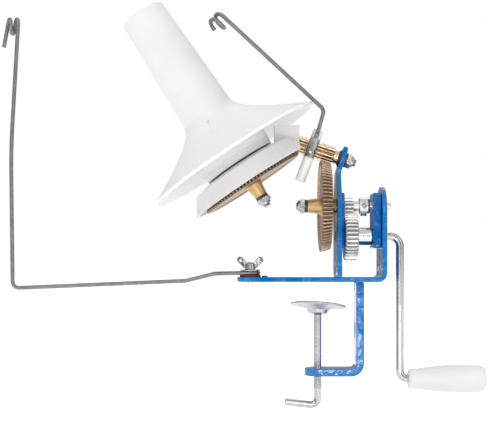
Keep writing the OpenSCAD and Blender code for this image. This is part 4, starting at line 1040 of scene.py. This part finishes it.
# Arm's pivot: a threaded stud through the tongue, a red fibre washer under the wire's eye, a
# steel washer on it and a pressed wing nut that clamps them.
stud_thread, stud_cut = threaded(2.5, 0.8, 3.6, 14.6)
make_piece("arm_stud", [turned(np.vstack([
    [(0, -1.2), (2.2, -1.2), (2.5, -0.8), (2.5, 3.5)], stud_thread, [(1.8, 14.8), (0, 14.8)]]),
    (STUD_X, 0, 0), (0, 1), 40, stud_cut)], shaft_steel, "frame")
red_fibre = new_material("red_fibre", (0.12, 0.02, 0.018), 0, 0.7)
tinted(red_fibre, noise_on(red_fibre, 900, 4), (0.3, (0.07, 0.014, 0.014)), (0.7, (0.17, 0.03, 0.025)))
embossed(red_fibre, noise_on(red_fibre, 1800, 3, (1, 1, 5)), 0.04)
make_piece("fibre_washer", [ring(2.6, 8, SHEET, SHEET + 1.7, (STUD_X, 0, 0))],
           red_fibre, "frame")
make_piece("arm_washer", [ring(2.55, 7.5, 8.2, 9.2, (STUD_X, 0, 0))],
           nut_zinc, "arm_washer")


def slab(outline, thickness, edge, centre, hollow):
    """A shape in the x-z plane that runs from its middle out to its rounded edge and back. The
    outline (x, z) goes round its centre once, and is drawn in along its normals. Both faces are
    sunk by hollow (1 - share^2)^2 of their half thickness, where share is how far out a point is."""
    run = np.roll(outline, -1, axis=0) - np.roll(outline, 1, axis=0)
    inward = np.column_stack([-run[:, 1], run[:, 0]]) / np.linalg.norm(run, axis=1)[:, None]
    a = np.linspace(0, math.pi / 2, 5)
    inset = np.concatenate([edge * (1 - np.sin(a)), edge * (1 - np.sin(a[::-1]))])
    level = np.concatenate([edge * (1 - np.cos(a)), thickness - edge * (1 - np.cos(a[::-1]))]) - thickness / 2
    shape = outline[None] + inward[None] * inset[:, None, None]
    share = np.linspace(0, 0.94, 8)[:, None, None]
    middle = centre + (shape[0] - centre) * share
    sunk = thickness / 2 * (1 - hollow * (1 - share[:, 0, 0] ** 2) ** 2)
    shape = np.concatenate([middle, shape, middle[::-1]])
    level = np.concatenate([-sunk, level, sunk[::-1]])
    points = np.stack([shape[..., 0], np.broadcast_to(level[:, None], shape.shape[:2]), shape[..., 1]], -1)
    return points.reshape(-1, 3), grid_quads(len(shape), len(outline), close_columns=True)


WING_Z = 9.2
wing_zinc_painted_reflection = new_material("wing_zinc_painted_reflection", (0.42, 0.43, 0.46), 1, 0.24)
tinted(wing_zinc_painted_reflection, noise_on(wing_zinc_painted_reflection, 150, 3), (0.3, (0.4, 0.41, 0.43)), (0.7, (0.55, 0.56, 0.58)))
# Beyond 4.1 mm off the stud the wings are painted with dark streaks: painted dark reflections.
wing_reflection_reach = stepped(wing_zinc_painted_reflection, far_from(wing_zinc_painted_reflection, (STUD_X, 0, 0), (0, 1)), 4.1, 5.2)
mixed(wing_zinc_painted_reflection, times(wing_zinc_painted_reflection, wing_reflection_reach, stepped(wing_zinc_painted_reflection, noise_on(wing_zinc_painted_reflection, 420, 2, (1, 1, 0.4)), 0.62, 0.42)),
      (0.1, 0.11, 0.14))
worn(wing_zinc_painted_reflection, (0.62, 0.62, 0.63))
roughened(wing_zinc_painted_reflection, noise_on(wing_zinc_painted_reflection, 400, 2), 0.18, 0.32)
embossed(wing_zinc_painted_reflection, noise_on(wing_zinc_painted_reflection, 900, 2), 0.006)
wing = filled(rounded([
    (1.2, 3.2, 0), (4.2, 0.6, 2), (10.2, 6.9, 0.6), (9.2, 9.6, 1.2), (6.8, 10.0, 1.2), (2.4, 5.2, 0)], 6, True), 0.7)
hub_thread_free = rounded([
    (2.55, 0, 0.2), (4.2, 0, 0.3), (4.05, 1.6, 1), (3.7, 4.75, 0.5), (2.55, 4.75, 0.2)], 3, True)
right = slab(wing + (0, WING_Z), 2.2, 0.7, (5.6, WING_Z + 5.1), 0.3)
left = (right[0] * (-1, 1, 1), right[1][:, ::-1])
make_piece("wing_nut", [
    turned(hub_thread_free, (STUD_X, 0, WING_Z + 0.05), angles=64, closed=True),
    (right[0] + (STUD_X, 0, 0), right[1]), (left[0] + (STUD_X, 0, 0), left[1])],
    wing_zinc_painted_reflection, "wing_nut")

# Clamp screw: a 6 mm rod with a cut thread, a ball under the pressure plate, and a thinner shank
# bent into the handle.
BALL_Z = -20.7
screw_zinc = new_material("screw_zinc", (0.46, 0.465, 0.48), 1, 0.2)
tinted(screw_zinc, noise_on(screw_zinc, 80, 3), (0.3, (0.4, 0.405, 0.42)), (0.7, (0.52, 0.525, 0.54)))
worn(screw_zinc, (0.7, 0.7, 0.7))
roughened(screw_zinc, noise_on(screw_zinc, 300, 2), 0.16, 0.26)
embossed(screw_zinc, noise_on(screw_zinc, 900, 2), 0.004)
clamp_thread, clamp_cut = threaded(3, 1, -80.9, -24.6, 0.18)
ball = np.radians(np.arange(-48, 91, 6))
make_piece("clamp_screw", [
    turned(np.vstack([
        [(0, -81.2), (2.5, -81.2)], clamp_thread, [(2.4, -24.4)],
        np.column_stack([3.6 * np.cos(ball), BALL_Z + 3.6 * np.sin(ball)])]),
        (0, 0, 0), (0, 1), 40, clamp_cut),
    rod(bent_path([(0, 0, -79), (0, 0, -94), (-25, 0, -91.2)], (5,)), 2.7, 28, 0.7)],
    screw_zinc, "clamp_screw")

# Pressure plate: pressed steel, dull zinc, with the socket for the ball. It rocks on the ball.
plate_zinc = new_material("plate_zinc", (0.5, 0.505, 0.53), 0.9, 0.36)
tinted(plate_zinc, noise_on(plate_zinc, 90, 4), (0.3, (0.42, 0.425, 0.45)), (0.7, (0.58, 0.585, 0.61)))
worn(plate_zinc, (0.7, 0.7, 0.71))
roughened(plate_zinc, noise_on(plate_zinc, 500, 3), 0.26, 0.42)
embossed(plate_zinc, noise_on(plate_zinc, 600, 3), 0.015)
points, quads = turned(rounded([
    (0, 4.6, 0), (0, 4.6, 0), (8, 4.6, 2), (18.5, 3.9, 3), (21.5, 3.1, 0.4), (21.5, 2.1, 0.4), (18, 2.1, 2),
    (11.5, 0.9, 2), (8.4, -0.6, 1), (7.4, -3.2, 0.6), (6.6, -3.6, 0.4), (3.6, -3.6, 0.2), (3.75, -1.2, 0.4), (3.0, 2.4, 1), (0, 3.8, 0)][::-1], 4),
    (0, 0, 0), angles=120)
lean, tip = math.radians(-8), math.radians(4)
lean_turn = np.array([(1, 0, 0), (0, math.cos(lean), -math.sin(lean)), (0, math.sin(lean), math.cos(lean))])
tip_turn = np.array([(math.cos(tip), 0, math.sin(tip)), (0, 1, 0), (-math.sin(tip), 0, math.cos(tip))])
make_piece("pressure_plate", [(points @ (tip_turn @ lean_turn).T + (0, 0, BALL_Z), quads)],
           plate_zinc, "pressure_plate")
